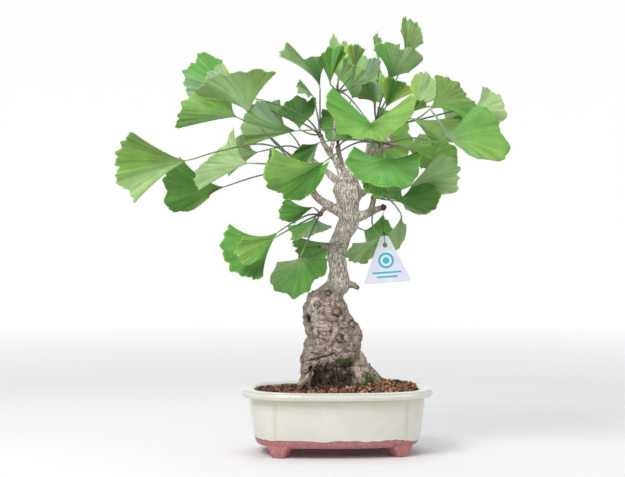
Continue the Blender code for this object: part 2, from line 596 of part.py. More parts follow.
SPRAYS = {
    "left": (
        Leaf(
            (-113, 289, -20),
            ((-168, 318, -30), (-181, 304, -26), (-184, 286, -20), (-182, 268, -22), (-164, 248, -32)),
            ((-12, 297, -8), (-40, 306, -8), (-80, 299, -10)),
            waves=3.5,
        ),
        Leaf(
            (-76, 263, -4),
            ((-122, 294, 4), (-137, 270, 4), (-130, 241, 0), (-110, 239, -6), (-91, 252, -10)),
            ((-18, 279, -7), (-46, 273, -6)),
            waves=3, lean=0.4,
        ),
        Leaf(
            (-52, 287, -14),
            ((-66, 323, -6), (-82, 299, -24), (-98, 287, -32), (-106, 274, -36), (-101, 260, -38)),
            ((-20, 285, -10),),
            bow=-2,
        ),
        Leaf(
            (-63, 333, 8),
            ((-124, 321, 2), (-121, 339, 6), (-107, 356, 12), (-84, 362, 8), (-68, 354, 4)),
            ((-8, 292, 0), (-36, 318, 6)),
            bow=4, lean=-0.3,
        ),
        Leaf(
            (-51, 337, -20),
            (
                (-23, 378, -16), (-43, 380, -24), (-73, 377, -32), (-90, 372, -32), (-105, 359, -26),
                (-96, 350, -20),
            ),
            ((-10, 291, -14), (-30, 312, -18)),
            bow=-4,
        ),
    ),
    "leader": (
        Leaf(
            (-56, 348, 4),
            ((-70, 376, 4), (-78, 386, 6), (-92, 378, 4), (-96, 367, 2), (-106, 358, 0)),
            ((4, 326, 8), (-26, 338, 6)),
            bow=2, ripple=1, lean=0.3,
        ),
        Leaf(
            (-60, 355, 22),
            ((-110, 352, 24), (-117, 370, 22), (-110, 386, 24), (-96, 397, 28), (-78, 390, 32)),
            ((6, 332, 12), (-22, 345, 18)),
            bow=4, lean=-0.4,
        ),
        Leaf(
            (-1, 321, 24),
            ((-24, 336, 26), (-15, 348, 28), (0, 353, 30), (8, 350, 28), (16, 351, 28), (13, 336, 24)),
            ((10, 316, 14),),
            bow=2, lean=-0.6,
        ),
        Leaf(
            (20, 364, 2),
            (
                (-18, 393, -4), (-20, 399, 0), (-13, 405, 4), (-4, 396, 6), (4, 391, 8), (18, 393, 12),
                (26, 385, 14),
            ),
            ((20, 338, 3),),
            bow=-3, waves=2,
        ),
        Leaf(
            (14, 352, 14),
            ((-1, 369, 28), (-4, 363, 18), (0, 357, 8), (10, 354, 2)),
            ((18, 332, 9),),
            bow=2,
        ),
    ),
    "front": (
        Leaf(
            (24, 288, -44),
            (
                (-27, 303, -54), (-34, 284, -50), (-34, 264, -46), (-20, 257, -42), (-12, 250, -40),
                (4, 251, -44), (16, 262, -52), (23, 272, -60), (30, 290, -64),
            ),
            ((60, 308, -26), (42, 300, -36)),
            bow=-5, waves=3, lean=-0.4,
        ),
        Leaf(
            (85, 293, -58),
            (
                (55, 303, -48), (45, 287, -50), (57, 273, -56), (82, 262, -62), (104, 262, -64),
                (117, 274, -60), (122, 292, -52), (117, 299, -48),
            ),
            ((82, 302, -40),),
            bow=-5, waves=2.5, cleft=0.06, lean=0,
        ),
        Leaf(
            (19, 308, -20),
            ((2, 306, -26), (-8, 294, -26), (3, 287, -24), (13, 288, -22)),
            ((60, 310, -19), (38, 310, -17)),
            bow=2, lean=0.3,
        ),
        Leaf(
            (-3, 319, -4),
            ((-37, 352, 0), (-51, 343, 4), (-58, 327, 4), (-57, 312, 0), (-54, 304, -4)),
            ((60, 315, -12), (34, 321, -9)),
            bow=4, waves=3, lean=-0.6,
        ),
        Leaf(
            (104, 303, -22),
            ((120, 318, -24), (130, 310, -25), (136, 298, -26), (132, 284, -26), (121, 280, -24)),
            ((92, 305, -20),),
            bow=2,
        ),
        Leaf(
            (139, 307, -40),
            (
                (174, 344, -24), (189, 342, -28), (201, 322, -34), (208, 300, -42), (200, 288, -50),
                (180, 290, -58), (164, 300, -64), (145, 317, -66), (126, 344, -66),
            ),
            ((92, 308, -24), (114, 312, -32)),
            bow=-5, waves=3, cleft=0.04, lean=0,
        ),
        Leaf(
            (82, 284, -30),
            ((62, 267, -30), (66, 257, -30), (78, 253, -32), (88, 257, -34)),
            ((82, 298, -26),),
            bow=1,
        ),
    ),
    "top": (
        Leaf(
            (70, 327, -62),
            (
                (34, 362, -48), (26, 352, -51), (27, 340, -55), (34, 329, -59), (39, 317, -62),
                (50, 315, -65), (58, 310, -67), (70, 311, -68), (82, 309, -68), (88, 313, -67),
                (99, 322, -64), (109, 330, -60), (115, 346, -52), (112, 356, -46),
            ),
            ((45, 356, -20), (54, 347, -44)),
            bow=-6, waves=3, cleft=0.03, lean=-0.4,
        ),
        Leaf(
            (30, 366, -6),
            ((18, 391, 0), (24, 399, -2), (34, 404, -4), (43, 403, -7), (46, 396, -9)),
            ((34, 362, -3),),
            bow=2,
        ),
        Leaf(
            (38, 372, 12),
            ((28, 402, 14), (33, 415, 14), (41, 407, 14), (47, 409, 14), (54, 401, 14)),
            ((38, 363, 7),),
            bow=1,
        ),
        Leaf(
            (54, 378, 0),
            ((46, 401, 2), (53, 406, 2), (60, 404, 0), (66, 400, -2)),
            ((44, 365, 1),),
            bow=1,
        ),
        Leaf(
            (38, 368, -12),
            ((44, 394, -20), (50, 387, -22), (53, 377, -22)),
            ((37, 363, -6),),
            bow=1,
        ),
        Leaf(
            (58, 366, 8),
            ((68, 390, 16), (75, 392, 14), (82, 388, 10)),
            ((48, 361, 6),),
            bow=1,
        ),
        Leaf(
            (50, 362, -10),
            ((48, 381, -14), (57, 385, -12), (65, 378, -10), (66, 368, -12)),
            ((44, 359, -4),),
            bow=2, ripple=2.4,
        ),
    ),
    "high_right": (
        Leaf(
            (88, 370, -4),
            (
                (72, 402, 4), (84, 407, 4), (97, 407, 2), (101, 400, 0), (110, 403, 0), (123, 390, -4),
                (109, 377, -4),
            ),
            ((78, 338, 6), (83, 356, 2)),
            bow=-3, waves=2.5, lean=0.8,
        ),
        Leaf(
            (103, 385, 14),
            ((101, 420, 16), (104, 433, 18), (113, 429, 18), (121, 421, 16), (124, 407, 12)),
            ((80, 338, 12), (92, 362, 16)),
            bow=3, lean=0.85,
        ),
        Leaf(
            (80, 385, 18),
            ((74, 412, 24), (77, 418, 26), (80, 411, 26), (83, 402, 24)),
            ((75, 340, 16), (77, 364, 20)),
            bow=2,
        ),
        Leaf(
            (86, 343, -10),
            ((77, 371, -12), (89, 372, -15), (104, 368, -18), (113, 358, -18)),
            ((80, 334, 0),),
            bow=-2, lean=-0.6,
        ),
        Leaf(
            (74, 347, -4),
            ((59, 351, -12), (60, 362, -14), (69, 368, -12), (81, 367, -8)),
            ((75, 336, 3),),
            bow=-2,
        ),
    ),
    "right_twig": (
        Leaf(
            (115, 340, 2),
            (
                (109, 362, 8), (115, 374, 14), (122, 379, 16), (131, 373, 14), (138, 363, 10),
                (136, 350, 4),
            ),
            ((104, 331, 0),),
            bow=2,
        ),
        Leaf(
            (130, 341, -10),
            (
                (134, 375, -2), (148, 373, 0), (160, 364, 0), (170, 352, -2), (176, 341, -6),
                (163, 331, -14),
            ),
            ((108, 328, -8), (120, 333, -10)),
            bow=-4, lean=0,
        ),
        Leaf(
            (172, 342, 14),
            ((183, 364, 18), (194, 358, 18), (203, 349, 18), (207, 334, 14), (199, 326, 10)),
            ((122, 331, 8), (150, 338, 14)),
            bow=2, lean=-0.6,
        ),
        Leaf(
            (112, 332, -16),
            ((163, 335, -22), (165, 320, -24), (156, 311, -26), (140, 310, -26), (127, 315, -24)),
            ((102, 328, -9),),
            bow=2, lean=-0.6,
        ),
        Leaf(
            (110, 337, -10),
            ((111, 348, -14), (121, 350, -14), (131, 343, -16)),
            ((102, 331, -6),),
            bow=1,
        ),
    ),
    "low_left": (
        Leaf(
            (13, 243, -18),
            ((-14, 252, -22), (-20, 242, -20), (-19, 230, -18), (-6, 227, -16)),
            ((17, 240, -16),),
            bow=2,
        ),
        Leaf(
            (15, 233, -15),
            ((-13, 224, -12), (-7, 210, -12), (6, 213, -14), (20, 217, -16), (32, 224, -18)),
            ((18, 235, -14),),
            bow=-2,
        ),
        Leaf(
            (-22, 218, -28),
            (
                (-70, 225, -24), (-78, 213, -28), (-77, 194, -32), (-68, 179, -36), (-52, 172, -38),
                (-37, 172, -38),
            ),
            ((8, 235, -22), (-8, 227, -26)),
            bow=-5, waves=3,
        ),
        Leaf(
            (-24, 213, -40),
            ((-57, 213, -46), (-64, 202, -46), (-62, 191, -48), (-50, 186, -50), (-37, 192, -50)),
            ((9, 231, -26), (-8, 222, -34)),
            bow=2,
        ),
        Leaf(
            (0, 193, -28),
            (
                (-24, 187, -24), (-29, 172, -26), (-23, 158, -28), (-6, 152, -32), (9, 159, -36),
                (15, 170, -38), (26, 177, -38), (28, 191, -34),
            ),
            ((15, 226, -22), (7, 208, -26)),
            bow=-4, waves=3, cleft=0.05,
        ),
    ),
    "low_right": (
        Leaf(
            (80, 213, -19),
            ((52, 207, -22), (46, 192, -26), (58, 187, -28), (68, 186, -28)),
            ((76, 254, -22), (72, 228, -24)),
            bow=2,
        ),
        Leaf(
            (102, 235, -2),
            ((88, 216, 4), (90, 204, 4), (97, 200, 4), (104, 210, 4), (107, 226, 2)),
            ((80, 257, -8), (93, 247, -4)),
            bow=1,
        ),
        Leaf(
            (95, 249, -26),
            (
                (112, 264, -14), (130, 267, -18), (140, 256, -26), (134, 240, -34), (120, 235, -38),
                (105, 241, -38),
            ),
            ((82, 251, -20),),
            bow=-2,
        ),
        Leaf(
            (110, 264, -6),
            (
                (139, 298, 2), (153, 292, 0), (160, 281, -4), (157, 277, -4), (160, 270, -6),
                (155, 259, -10), (142, 255, -12),
            ),
            ((82, 257, -10), (96, 259, -8)),
            bow=-3, waves=2,
        ),
    ),
    "low_back": (
        Leaf(
            (41, 208, 30),
            ((-5, 214, 38), (-6, 203, 36), (2, 191, 34), (22, 182, 32)),
            ((49, 220, 30),),
            bow=3,
        ),
        Leaf(
            (64, 220, 44),
            ((84, 236, 50), (92, 218, 58), (84, 200, 58), (68, 190, 54)),
            ((55, 223, 34),),
            bow=3,
        ),
    ),
    "back": (
        Leaf(
            (46, 340, 34),
            ((22, 341, 24), (20, 328, 22), (26, 313, 22), (42, 308, 26), (54, 314, 32)),
            ((36, 320, 50), (40, 338, 44)),
            bow=2,
        ),
        Leaf(
            (52, 352, 62),
            ((28, 385, 60), (48, 397, 64), (72, 390, 68), (88, 366, 70), (80, 348, 68)),
            ((42, 325, 54),),
            bow=4, waves=3, lean=0.3,
        ),
        Leaf(
            (62, 312, 78),
            ((78, 344, 82), (104, 334, 86), (112, 308, 88), (96, 284, 86), (70, 282, 82)),
            ((46, 310, 62),),
            bow=4, waves=3,
        ),
    ),
    "back_left": (
        Leaf(
            (-14, 322, 62),
            ((-20, 350, 56), (-42, 346, 60), (-55, 328, 64), (-52, 308, 66)),
            ((-4, 310, 52),),
            bow=3,
        ),
        Leaf(
            (-2, 292, 64),
            ((-30, 300, 70), (-34, 276, 74), (-20, 256, 74), (2, 256, 72), (16, 272, 68)),
            ((0, 300, 54),),
            bow=4, waves=3,
        ),
        Leaf(
            (-42, 298, 34),
            ((-54, 318, 30), (-72, 306, 30), (-80, 290, 32), (-72, 274, 34)),
            ((-14, 304, 44),),
            bow=3,
        ),
    ),
    "back_right": (
        Leaf(
            (120, 292, 56),
            ((120, 316, 58), (142, 316, 54), (156, 300, 52), (152, 280, 52), (134, 268, 54)),
            ((108, 284, 50),),
            bow=3, waves=3,
        ),
        Leaf(
            (104, 272, 66),
            ((72, 284, 78), (66, 264, 80), (82, 252, 80), (104, 250, 78)),
            ((102, 278, 54),),
            bow=3, lean=0.5,
        ),
        Leaf(
            (146, 322, 34),
            ((140, 348, 34), (160, 352, 32), (180, 338, 30), (186, 320, 30), (172, 304, 32)),
            ((112, 292, 46), (130, 310, 40)),
            bow=3, waves=3, lean=-0.6,
        ),
    ),
}


def build_sprays(parts, green):
    """Each spur's tuft of leaves: bud, stalks and blades, fused into one body."""
    for name, leaves in SPRAYS.items():
        last = spots([place[:3] for place in BRANCHES[name]])
        ends = smooth_path(last, len(last) + 1)[-2:]
        tip = ends[1]
        direction = (ends[1] - ends[0]) / np.linalg.norm(ends[1] - ends[0])
        root = tip + direction * (GAP + BUD_HEIGHT * 0.6) * MM
        meshes = [bud(f"bud_{name}", tip, direction)]
        meshes += [leaf_solid(f"leaf_{name}_{number}", leaf, root) for number, leaf in enumerate(leaves)]
        fused(f"spray_{name}", meshes, parts, green)


def tag_frame(x, z, depth=0.0):
    """A place on the tag, from the middle of its top edge, as a point; the tag leans with its drop."""
    cosine, sine = math.cos(TAG_LEAN), math.sin(TAG_LEAN)
    top_x, top_z, top_depth = TAG_PLACE
    return spot(top_x + x * cosine - z * sine, top_z + x * sine + z * cosine, top_depth + depth)


def build_tag(parts, plastic, dark):
    """The tag, a flat triangle with its top cut off and a hole, and the thread that it hangs on."""
    curve = bpy.data.curves.new("tag", "CURVE")
    curve.dimensions = "2D"
    curve.fill_mode = "BOTH"
    curve.extrude = TAG_THICK / 2 * MM
    half, (short, rise) = TAG_BASE / 2, TAG_CORNER
    corners = (
        (-TAG_TOP / 2, 0), (TAG_TOP / 2, 0), (half, rise - TAG_HEIGHT), (half - short, -TAG_HEIGHT),
        (short - half, -TAG_HEIGHT), (-half, rise - TAG_HEIGHT),
    )
    turns = np.linspace(0, 2 * math.pi, 12, endpoint=False)
    hole = [(TAG_HOLE / 2 * math.cos(t), TAG_HOLE / 2 * math.sin(t) - TAG_HOLE_DROP) for t in turns]
    for outline in (corners, hole):
        spline = curve.splines.new("POLY")
        spline.use_cyclic_u = True
        spline.points.add(len(outline) - 1)
        for point, (x, z) in zip(spline.points, outline):
            point.co = (x * MM, z * MM, 0, 1)
    tag = bpy.data.objects.new("tag", curve)
    tag.location = Vector(tag_frame(0, 0))
    tag.rotation_euler = (math.pi / 2, -TAG_LEAN, -VIEW_TURN)
    curve.materials.append(plastic)
    parts.objects.link(tag)

    stub = smooth_path(spots([place[:3] for place in BRANCHES["stub_right"]]), STUB_POINTS)
    tie_middle = stub[TIE_POINT]
    along = Vector(stub[-1] - stub[-4])
    bpy.ops.mesh.primitive_torus_add(
        major_radius=TIE_RADIUS * MM,
        minor_radius=THREAD_RADIUS * MM,
        major_segments=20,
        minor_segments=6,
        location=tie_middle,
        rotation=along.to_track_quat("Z", "Y").to_euler(),
    )
    adopted("tag_tie", parts, dark)

    through = -TAG_HOLE_DROP + TAG_HOLE / 2 - GAP - THREAD_RADIUS
    half_turn = np.linspace(0, math.pi, 9)
    sides, drops = LOOP_RADIUS * np.cos(half_turn), LOOP_RADIUS * np.sin(half_turn)
    under = [(0, through + LOOP_RADIUS - drop, -side) for side, drop in zip(sides, drops)]
    top = tie_middle - np.array((0, 0, TIE_RADIUS + 2 * THREAD_RADIUS + GAP)) * MM
    route = [top, tag_frame(-1, 14, -0.6), tag_frame(0, 2, -1.7)]
    route += [tag_frame(*place) for place in under]
    route += [tag_frame(0, KNOT_DROP, 1.7)]
    path = smooth_path(route, THREAD_POINTS)
    placed("tag_thread", tube("tag_thread", path, [THREAD_RADIUS] * len(path), 1), parts, dark)
    bpy.ops.mesh.primitive_uv_sphere_add(
        segments=10,
        ring_count=6,
        radius=KNOT_RADIUS * MM,
        location=tag_frame(0, KNOT_DROP + GAP + KNOT_RADIUS, LOOP_RADIUS),
    )
    adopted("tag_knot", parts, dark)


def main():
    for old in list(bpy.data.objects):
        bpy.data.objects.remove(old)
    parts = bpy.data.collections.new("ginkgo_bonsai")
    cutters = bpy.data.collections.new("cutters")
    bpy.context.scene.collection.children.link(parts)
    bpy.context.scene.collection.children.link(cutters)
    clay = material("cream_glaze", (0.83, 0.8, 0.72), 0.25)
    earth = material("soil", (0.12, 0.06, 0.03), 0.95)
    bark = material("bark", (0.42, 0.37, 0.31), 0.85)
    green = material("leaf", (0.13, 0.42, 0.08), 0.5)
    plastic = material("white_plastic", (0.85, 0.88, 0.9), 0.35)
    dark = material("dark_thread", (0.05, 0.05, 0.06), 0.7)
    build_pot(parts, cutters, clay)
    build_screens(parts, plastic)
    build_soil(parts, cutters, earth)
    build_trunk(parts, bark)
    build_sprays(parts, green)
    build_tag(parts, plastic, dark)


main()
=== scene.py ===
"""Ginkgo bonsai: the looks of the tree, its pot, its soil and its plant tag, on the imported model.

Metres in the meshes, +Z up. The lengths in the tables are millimetres, in the view that the tree is laid
out in: x to the right, z up, depth away from the eye, zero at the pot's middle. spot() turns such a
place into a point. The leaves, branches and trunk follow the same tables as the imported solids, on finer
grids.
"""

import itertools
import math
from collections import namedtuple

import bpy
import numpy as np
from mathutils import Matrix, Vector


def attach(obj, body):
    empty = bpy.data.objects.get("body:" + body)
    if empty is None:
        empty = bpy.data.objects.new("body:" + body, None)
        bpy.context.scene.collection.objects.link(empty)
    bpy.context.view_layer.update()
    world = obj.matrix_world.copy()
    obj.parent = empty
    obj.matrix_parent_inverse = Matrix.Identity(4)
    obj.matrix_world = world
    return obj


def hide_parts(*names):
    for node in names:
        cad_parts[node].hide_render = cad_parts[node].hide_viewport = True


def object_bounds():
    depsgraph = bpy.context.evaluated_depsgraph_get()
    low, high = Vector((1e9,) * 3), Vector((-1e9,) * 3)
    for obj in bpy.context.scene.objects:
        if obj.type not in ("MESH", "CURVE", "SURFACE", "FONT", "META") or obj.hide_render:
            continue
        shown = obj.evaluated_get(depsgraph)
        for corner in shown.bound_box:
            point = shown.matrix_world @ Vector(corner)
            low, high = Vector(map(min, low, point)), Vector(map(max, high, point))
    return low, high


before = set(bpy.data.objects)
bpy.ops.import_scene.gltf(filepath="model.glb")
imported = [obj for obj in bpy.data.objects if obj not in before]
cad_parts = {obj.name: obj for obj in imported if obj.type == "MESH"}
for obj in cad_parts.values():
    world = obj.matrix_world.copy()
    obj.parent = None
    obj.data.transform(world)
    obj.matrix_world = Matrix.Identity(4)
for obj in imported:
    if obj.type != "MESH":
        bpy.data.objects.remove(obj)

CAD_BOX = [list(corner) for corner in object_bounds()]
RANDOM = np.random.default_rng(7)

MM = 0.001
GAP = 0.3

# The view that the tree is laid out in
EYE_DISTANCE = 1550
EYE_HEIGHT = 213
VIEW_TURN = math.radians(4)
LAYOUT_X = 12.5
LAYOUT_Z = 1.5
CROWN_DEPTH = 1.35
MIDDLE_X = 1.4
MIDDLE_Y = 7
PHOTO_WIDTH = 625
SENSOR = 36

# Pot
POT_LENGTH = 190
POT_WIDTH = 145
POT_HEIGHT = 65
POT_PLACE = (24.0, -1.7)
POT_SQUARENESS = 2.8
FOOT_HEIGHT = 10
FOOT_TOP = 24
FOOT_BOTTOM = 13
FOOT_THICK = 17
FOOT_PLACE = (58, 38)
FOOT_TURN = math.radians(30)
FOOT_ROOT = 2.5
FOOT_CURVE = 1.6
FLOOR_TOP = 16
DRAIN_ACROSS = 18
DRAIN_PLACE = 44
OUTER_PROFILE = (
    (10, 18), (11.5, 15), (17, 13), (32, 10.2), (47, 8.6), (54.5, 8),
    (56.8, 6), (57.6, 1.6), (60.5, 0), (63.4, 0.8), (POT_HEIGHT, 3.2),
)
INNER_PROFILE = ((POT_HEIGHT, 9.6), (63, 12.6), (60, 13.2), (32, 15.2), (20, 19), (FLOOR_TOP, 26))
POT_COLUMNS = 300
OUTER_ROWS = 120
INNER_ROWS = 26
FOOT_ROWS = 18
FOOT_COLUMNS = 48
FOOT_POWER = 0.35
# The height of a foot's eased bottom edge, and of the taper of its front and back
FOOT_EDGE = 1.6
FOOT_TAPER = 4
# How far the foot draws in there: at the ends and at the front by the edge, and at the front by the taper
FOOT_EDGE_INSETS = (0.8, 0.5)
FOOT_TAPER_INSET = 1.2
DRILL_REACH = 15
# The body's front and back are panels between two soft upright creases, which fade between heights
CREASE_PLACE = 64
CREASE_WIDTH = 2.4
CREASE_DEPTH = 0.7
CREASE_FRONT = 30
CREASE_FOOT = (12, 20)
CREASE_TOP = (52, 56)
# The height where the glaze ends at the left, how much lower it ends at the right, and between which x
GLAZE_END = 17.2
GLAZE_DROP = 4.6
GLAZE_EASE = (50, 92)
# The clay's tone runs from 0 to 1 over this height
GLAZE_BLEND = 4
# Under the lip: pooled glaze, with painted shadow fading below this height over the reach, and a line of
# painted shadow at it
POOL_HEIGHT = 56
POOL_REACH = 3.5
LIP_SHADOW_LINE = 0.8
# Height and inset of the lip's sharp edges, where a grey-blue line of painted shade lies
SHADED_LIP_EDGES = ((65.0, 9.6), (57.0, 4.0), (63.6, 1.0))
EDGE_SHADE_WIDTH = 0.55
EDGE_SHADE_OUTSIDE = 0.9

# Soil
SOIL_EDGE = 61
SOIL_MOUND = 9
SOIL_GRAIN = 0.9
SOIL_MOUND_LENGTH = 58
SOIL_MOUND_WIDTH = 44
SOIL_LEAN = 2.6
SOIL_LEAN_WIDTH = 45

# Trunk: how finely it is lofted, the underside of its root plug, and where the lobes of the foot fade
TRUNK_SIDES = 180
TRUNK_STEP = 2.0
PLUG_BOTTOM = 41.5
PLUG_TOP = 60
LOBES_TOP = 110
LOBES_FADE = 40
# Height, left edge, right edge, middle depth and half depth of the trunk
TRUNK_RINGS = (
    (70, 2, 82, -1, 31), (78, 1, 75, -1, 29), (84, 2, 69, -1, 26), (92, 1, 64, -1, 25),
    (98, 2, 61, -2, 24), (104, 4, 61.5, -2, 25), (112, 8, 62, -2, 25), (119, 6, 60, -2, 25),
    (130, 2, 54.5, -2, 24), (138, 3, 49, -2, 23), (146, 5.5, 47, -2, 21), (153, 7.5, 45, -2, 19),
    (158, 10, 47, -2, 17), (163, 19, 49.5, -1, 14.5), (170, 27, 50, 0, 12), (179, 29, 48, 1, 10.5),
    (193, 27, 45.5, 2, 10), (203, 27, 48, 2, 10.5), (212, 30, 51.5, 1, 11), (221, 35, 58, 0, 11.5),
    (232, 39, 60.5, 0, 11), (242, 38, 59, 0, 10.5), (252, 35, 61, 0, 12), (260, 32, 62, 0, 12.5),
    (270, 36, 58.5, 0, 10), (277, 40, 53, 0, 7), (282, 43, 49, 0, 4),
)
# Burrs and hollows of the bark: x, z, depth, spread and height
KNOTS = (
    (14, 156, -14, 5, 5), (17, 145, -20, 5, 3), (37, 139, -24, 6, 3), (40, 112, -27, 6, 4),
    (8, 131, -16, 5, -5), (20, 96, -25, 9, -4), (30, 124, -26, 8, 3), (66, 84, -18, 8, 4),
    (12, 76, -24, 8, 4), (44, 78, -30, 7, 3), (56, 118, 14, 9, 5), (20, 110, 22, 10, 5),
    (36, 92, 28, 9, 4), (30, 140, 20, 7, 3), (50, 236, -10, 5, 3), (56, 256, -8, 5, 3),
)
# Each branch: x, z, depth and radius along it, from its root in the trunk
BRANCHES = {
    "leader": (
        (43, 274, 0, 5), (37, 287, 2, 3.6), (29.5, 297, 3, 3.1), (24, 306, 4, 2.8), (21, 313, 5, 2.6),
    ),
    "top": ((31, 295, 3, 2.4), (34, 318, 8, 2.1), (36, 340, 6, 1.9), (38, 356, 2, 2.1)),
    "left": (
        (44, 236, 0, 6), (28, 245, -3, 4.8), (16, 254, -5, 4), (10, 266, -6, 3.3), (3, 278, -8, 2.8),
    ),
    "low_left": ((29, 246, -4, 3.4), (24, 241, -9, 2.7), (21, 237, -12, 2.5)),
    "stub_right": ((52, 230, -2, 6), (68, 237, -8, 4.6), (77, 240.5, -12, 3.4), (86, 243.5, -15, 2.6)),
    "low_right": ((69, 236, -8, 3.4), (72, 245, -10, 2.9), (73, 251, -11, 2.5)),
    "stub_left": ((36, 200, -2, 5), (27, 204, -7, 3.4), (18, 203, -9, 1.8)),
    "stub_low": ((42, 166, -1, 5), (53, 165, -5, 3.6), (59, 161, -7, 2)),
    "right": (
        (50, 264, -1, 6), (60, 283, -5, 4.8), (70, 296, -8, 4.1), (79, 302, -10, 3.6),
        (97, 305, -11, 2.6),
    ),
    "front": ((77, 299, -9, 3.2), (80, 303, -15, 2.8), (81, 306, -20, 2.6)),
    "right_twig": ((86, 303, -10, 2.8), (89, 312, -7, 2.4), (93, 319, -5, 2.2), (96, 324, -4, 2.2)),
    "high_right": ((66, 291, -7, 3.2), (69, 306, 0, 2.6), (74, 318, 6, 2.3), (76, 327, 8, 2.2)),
    "back": ((46, 262, 4, 5), (43, 278, 22, 3.8), (40, 292, 36, 3), (38, 302, 46, 2.6)),
    "back_left": ((42, 266, 2, 5), (24, 280, 20, 3.2), (10, 292, 34, 2.8), (2, 300, 42, 2.4)),
    "back_right": ((52, 252, 4, 5), (68, 260, 20, 3.4), (86, 270, 34, 2.8), (98, 278, 42, 2.4)),
    "low_back": ((46, 212, 4, 4), (50, 217, 15, 3), (51, 221, 24, 2.5)),
}
# Thick roots at the foot of the trunk: x, z, depth and radius
ROOTS = (
    ((55, 98, -9, 3.4), (61, 92, -13, 4.2), (66, 85, -14, 3.8), (72, 76, -13, 3), (80, 68, -12, 2)),
    ((11, 92, -14, 5), (8, 83, -19, 4.6), (5, 75, -23, 3.6), (0, 66, -26, 2.4)),
    ((16, 88, -24, 4.5), (12, 79, -30, 3), (6, 71, -35, 2.2), (0, 64, -38, 1.8)),
    ((30, 90, 20, 5), (24, 80, 30, 3.6), (18, 72, 36, 2.6), (14, 64, 39, 2)),
)
# Old round scars on the burl: x, z and radius
SCARS = (
    (17.5, 145, 4.4), (37, 139, 6.4), (40, 112, 5.4), (28, 157, 3.6), (53, 126, 5), (12, 160, 3),
)
SCAR_RINGS = 4.4
SCAR_RISE = 1.5
# Pits at the burl's left edge: x, z, half width and half height
PITS = ((8, 131, 2.4, 6), (11, 121, 3, 2.6), (31, 118, 1.6, 3))
PIT_DEPTH = 1.8
# The crease over the foot and the hollow under it: each a slanting line by its x, z and slope
CREASE_LINE = (9, 89.5, 0.27)
CREASE_HALF = 0.9
FURROW_DEPTH = 1.6
HOLLOW_LINE = (13, 86, 0.18)
HOLLOW_DEPTH = 3
BARK_CELL = 0.85
BARK_SHRINK = 0.12
# Where the burl ends: its shape eases into the trunk's between two heights, and so does its colour
BURL_TOP = (150, 170)
BURL_TONE_TOP = (148, 166)
# A paler place on the front of the burl: x, z, half width and half height
PALE_PATCH = (14, 141, 6, 15)
# A limb's colour fades out between these distances from its middle line, in its radii. It fades in
# between two of the LIMB_STEPS places along it, and so does the colour of a stub's cut end
LIMB_STEPS = 24
LIMB_FADE = (1.9, 1.25)
LIMB_START = (6, 12)
CUT_START = (18.5, 22)
# How much less the bark stands out on a limb
LIMB_SMOOTHNESS = 0.55
# Colours of the wood: of the trunk, and those laid over it; the last is the bark's own dark with painted
# shade, for its low places
WOOD = "D6CDBF"
TWIG_WOOD = "A3917F"
BURL_WOOD = "B3A091"
PALE_PATCH_WOOD = "E6DBCB"
CUT_WOOD = "6E4E3A"
DARK_AND_SHADED_WOOD = "1E1711"

# Soil granules: the step of each layer's grid, the share that is kept, and its lift over the soil
GRANULE_LAYERS = ((2.8, 1.0, 0.3), (4.6, 0.5, 1.6))
GRANULE_FIELD = ((-76, 122), (-84, 66))
GRANULE_INSET = 15.4
GRANULE_ROWS = 4
GRANULE_COLUMNS = 7
# Range of their radii, and the share that is larger, and by how much
GRANULE_RADII = (1.1, 2.0)
GRANULE_LARGE = (0.12, 1.35)
# Colour and share of each kind of granule
GRANULE_KINDS = (
    ("96634A", 0.27), ("765240", 0.24), ("BC8C62", 0.17), ("4A3024", 0.16), ("8E7662", 0.06), ("2C2019", 0.1),
)

# Moss on the trunk, in an arc of degrees and between heights, and on the soil, in a field
MOSS_TUFTS = 5200
MOSS_ARC = (196, 366)
MOSS_LEVELS = (66, 94)
MOSS_SOIL_TUFTS = 6000
MOSS_FIELD = ((-20, -60), (90, 20))
# Ranges of a leaflet's length and half width
MOSS_LENGTHS = (0.9, 2.4)
MOSS_WIDTHS = (0.2, 0.4)
# Three greens, and three browns of dead fibre
MOSS_KINDS = ("6E8A34", "4C6B22", "8FAA46", "3A3222", "57442F", "2A1E16")

# Fine roots, pale and dark: their number, and ranges of start x, drift, top and radius
ROOTLETS = {
    "pale": (12, (0, 14), (-9, 2), (72, 82), (0.35, 0.75)),
    "dark": (22, (14, 56), (-7, 7), (70, 88), (0.18, 0.4)),
}
ROOTLET_FOOT = 64
ROOTLET_TONES = {"pale": ("C0A384",) * 3, "dark": ("8A745C", "3A2A1E", "3A2A1E")}

# Plant tag
TAG_PLACE = (84.3, 214, -19)
TAG_TOP = 7.7
TAG_BASE = 48.7
TAG_HEIGHT = 47
TAG_THICK = 0.8
# How far each corner is eased, from the top right one on, clockwise
TAG_EASE = (0.8, 2.6, 2.6, 0.8)
TAG_EDGE_POINTS = 192
TAG_ROWS = 12
TAG_HOLE = 5
TAG_HOLE_DROP = 9.2
TAG_LEAN = math.radians(4)
# The tag's print: a ring, a dot in it, and bars below as their drop and half length
TAG_RING_DROP = 24.5
TAG_RING = 6.8
TAG_RING_WIDE = 1.1
TAG_DOT = 3.3
TAG_BARS = ((36.5, 14.5), (40.8, 10.5))
TAG_BAR_WIDE = 0.9
THREAD_TURNS = 55
THREAD_RADIUS = 0.3
THREAD_POINTS = 40
LOOP_RADIUS = 1.9
KNOT_RADIUS = 1.2
KNOT_DROP = 1.2
TIE_RADIUS = 3.2
STUB_POINTS = 31
TIE_POINT = 27
# The turns round the stub, as their shifts along it, and the strand and turns of the knot
TIE_SHIFTS = (-0.5, 0.1, 0.6)
KNOT_STRAND = 0.4
KNOT_TURNS = 3

# Studio, in metres
FLOOR_RADIUS = 1.2
WALL_RADIUS = 3.6
WALL_FOOT = 1.2
WALL_HEIGHT = 6
STAGE_SIDES = 96
WORLD_LIGHT = 0.44
LAMP_AIM = (0, 0, 0.25)
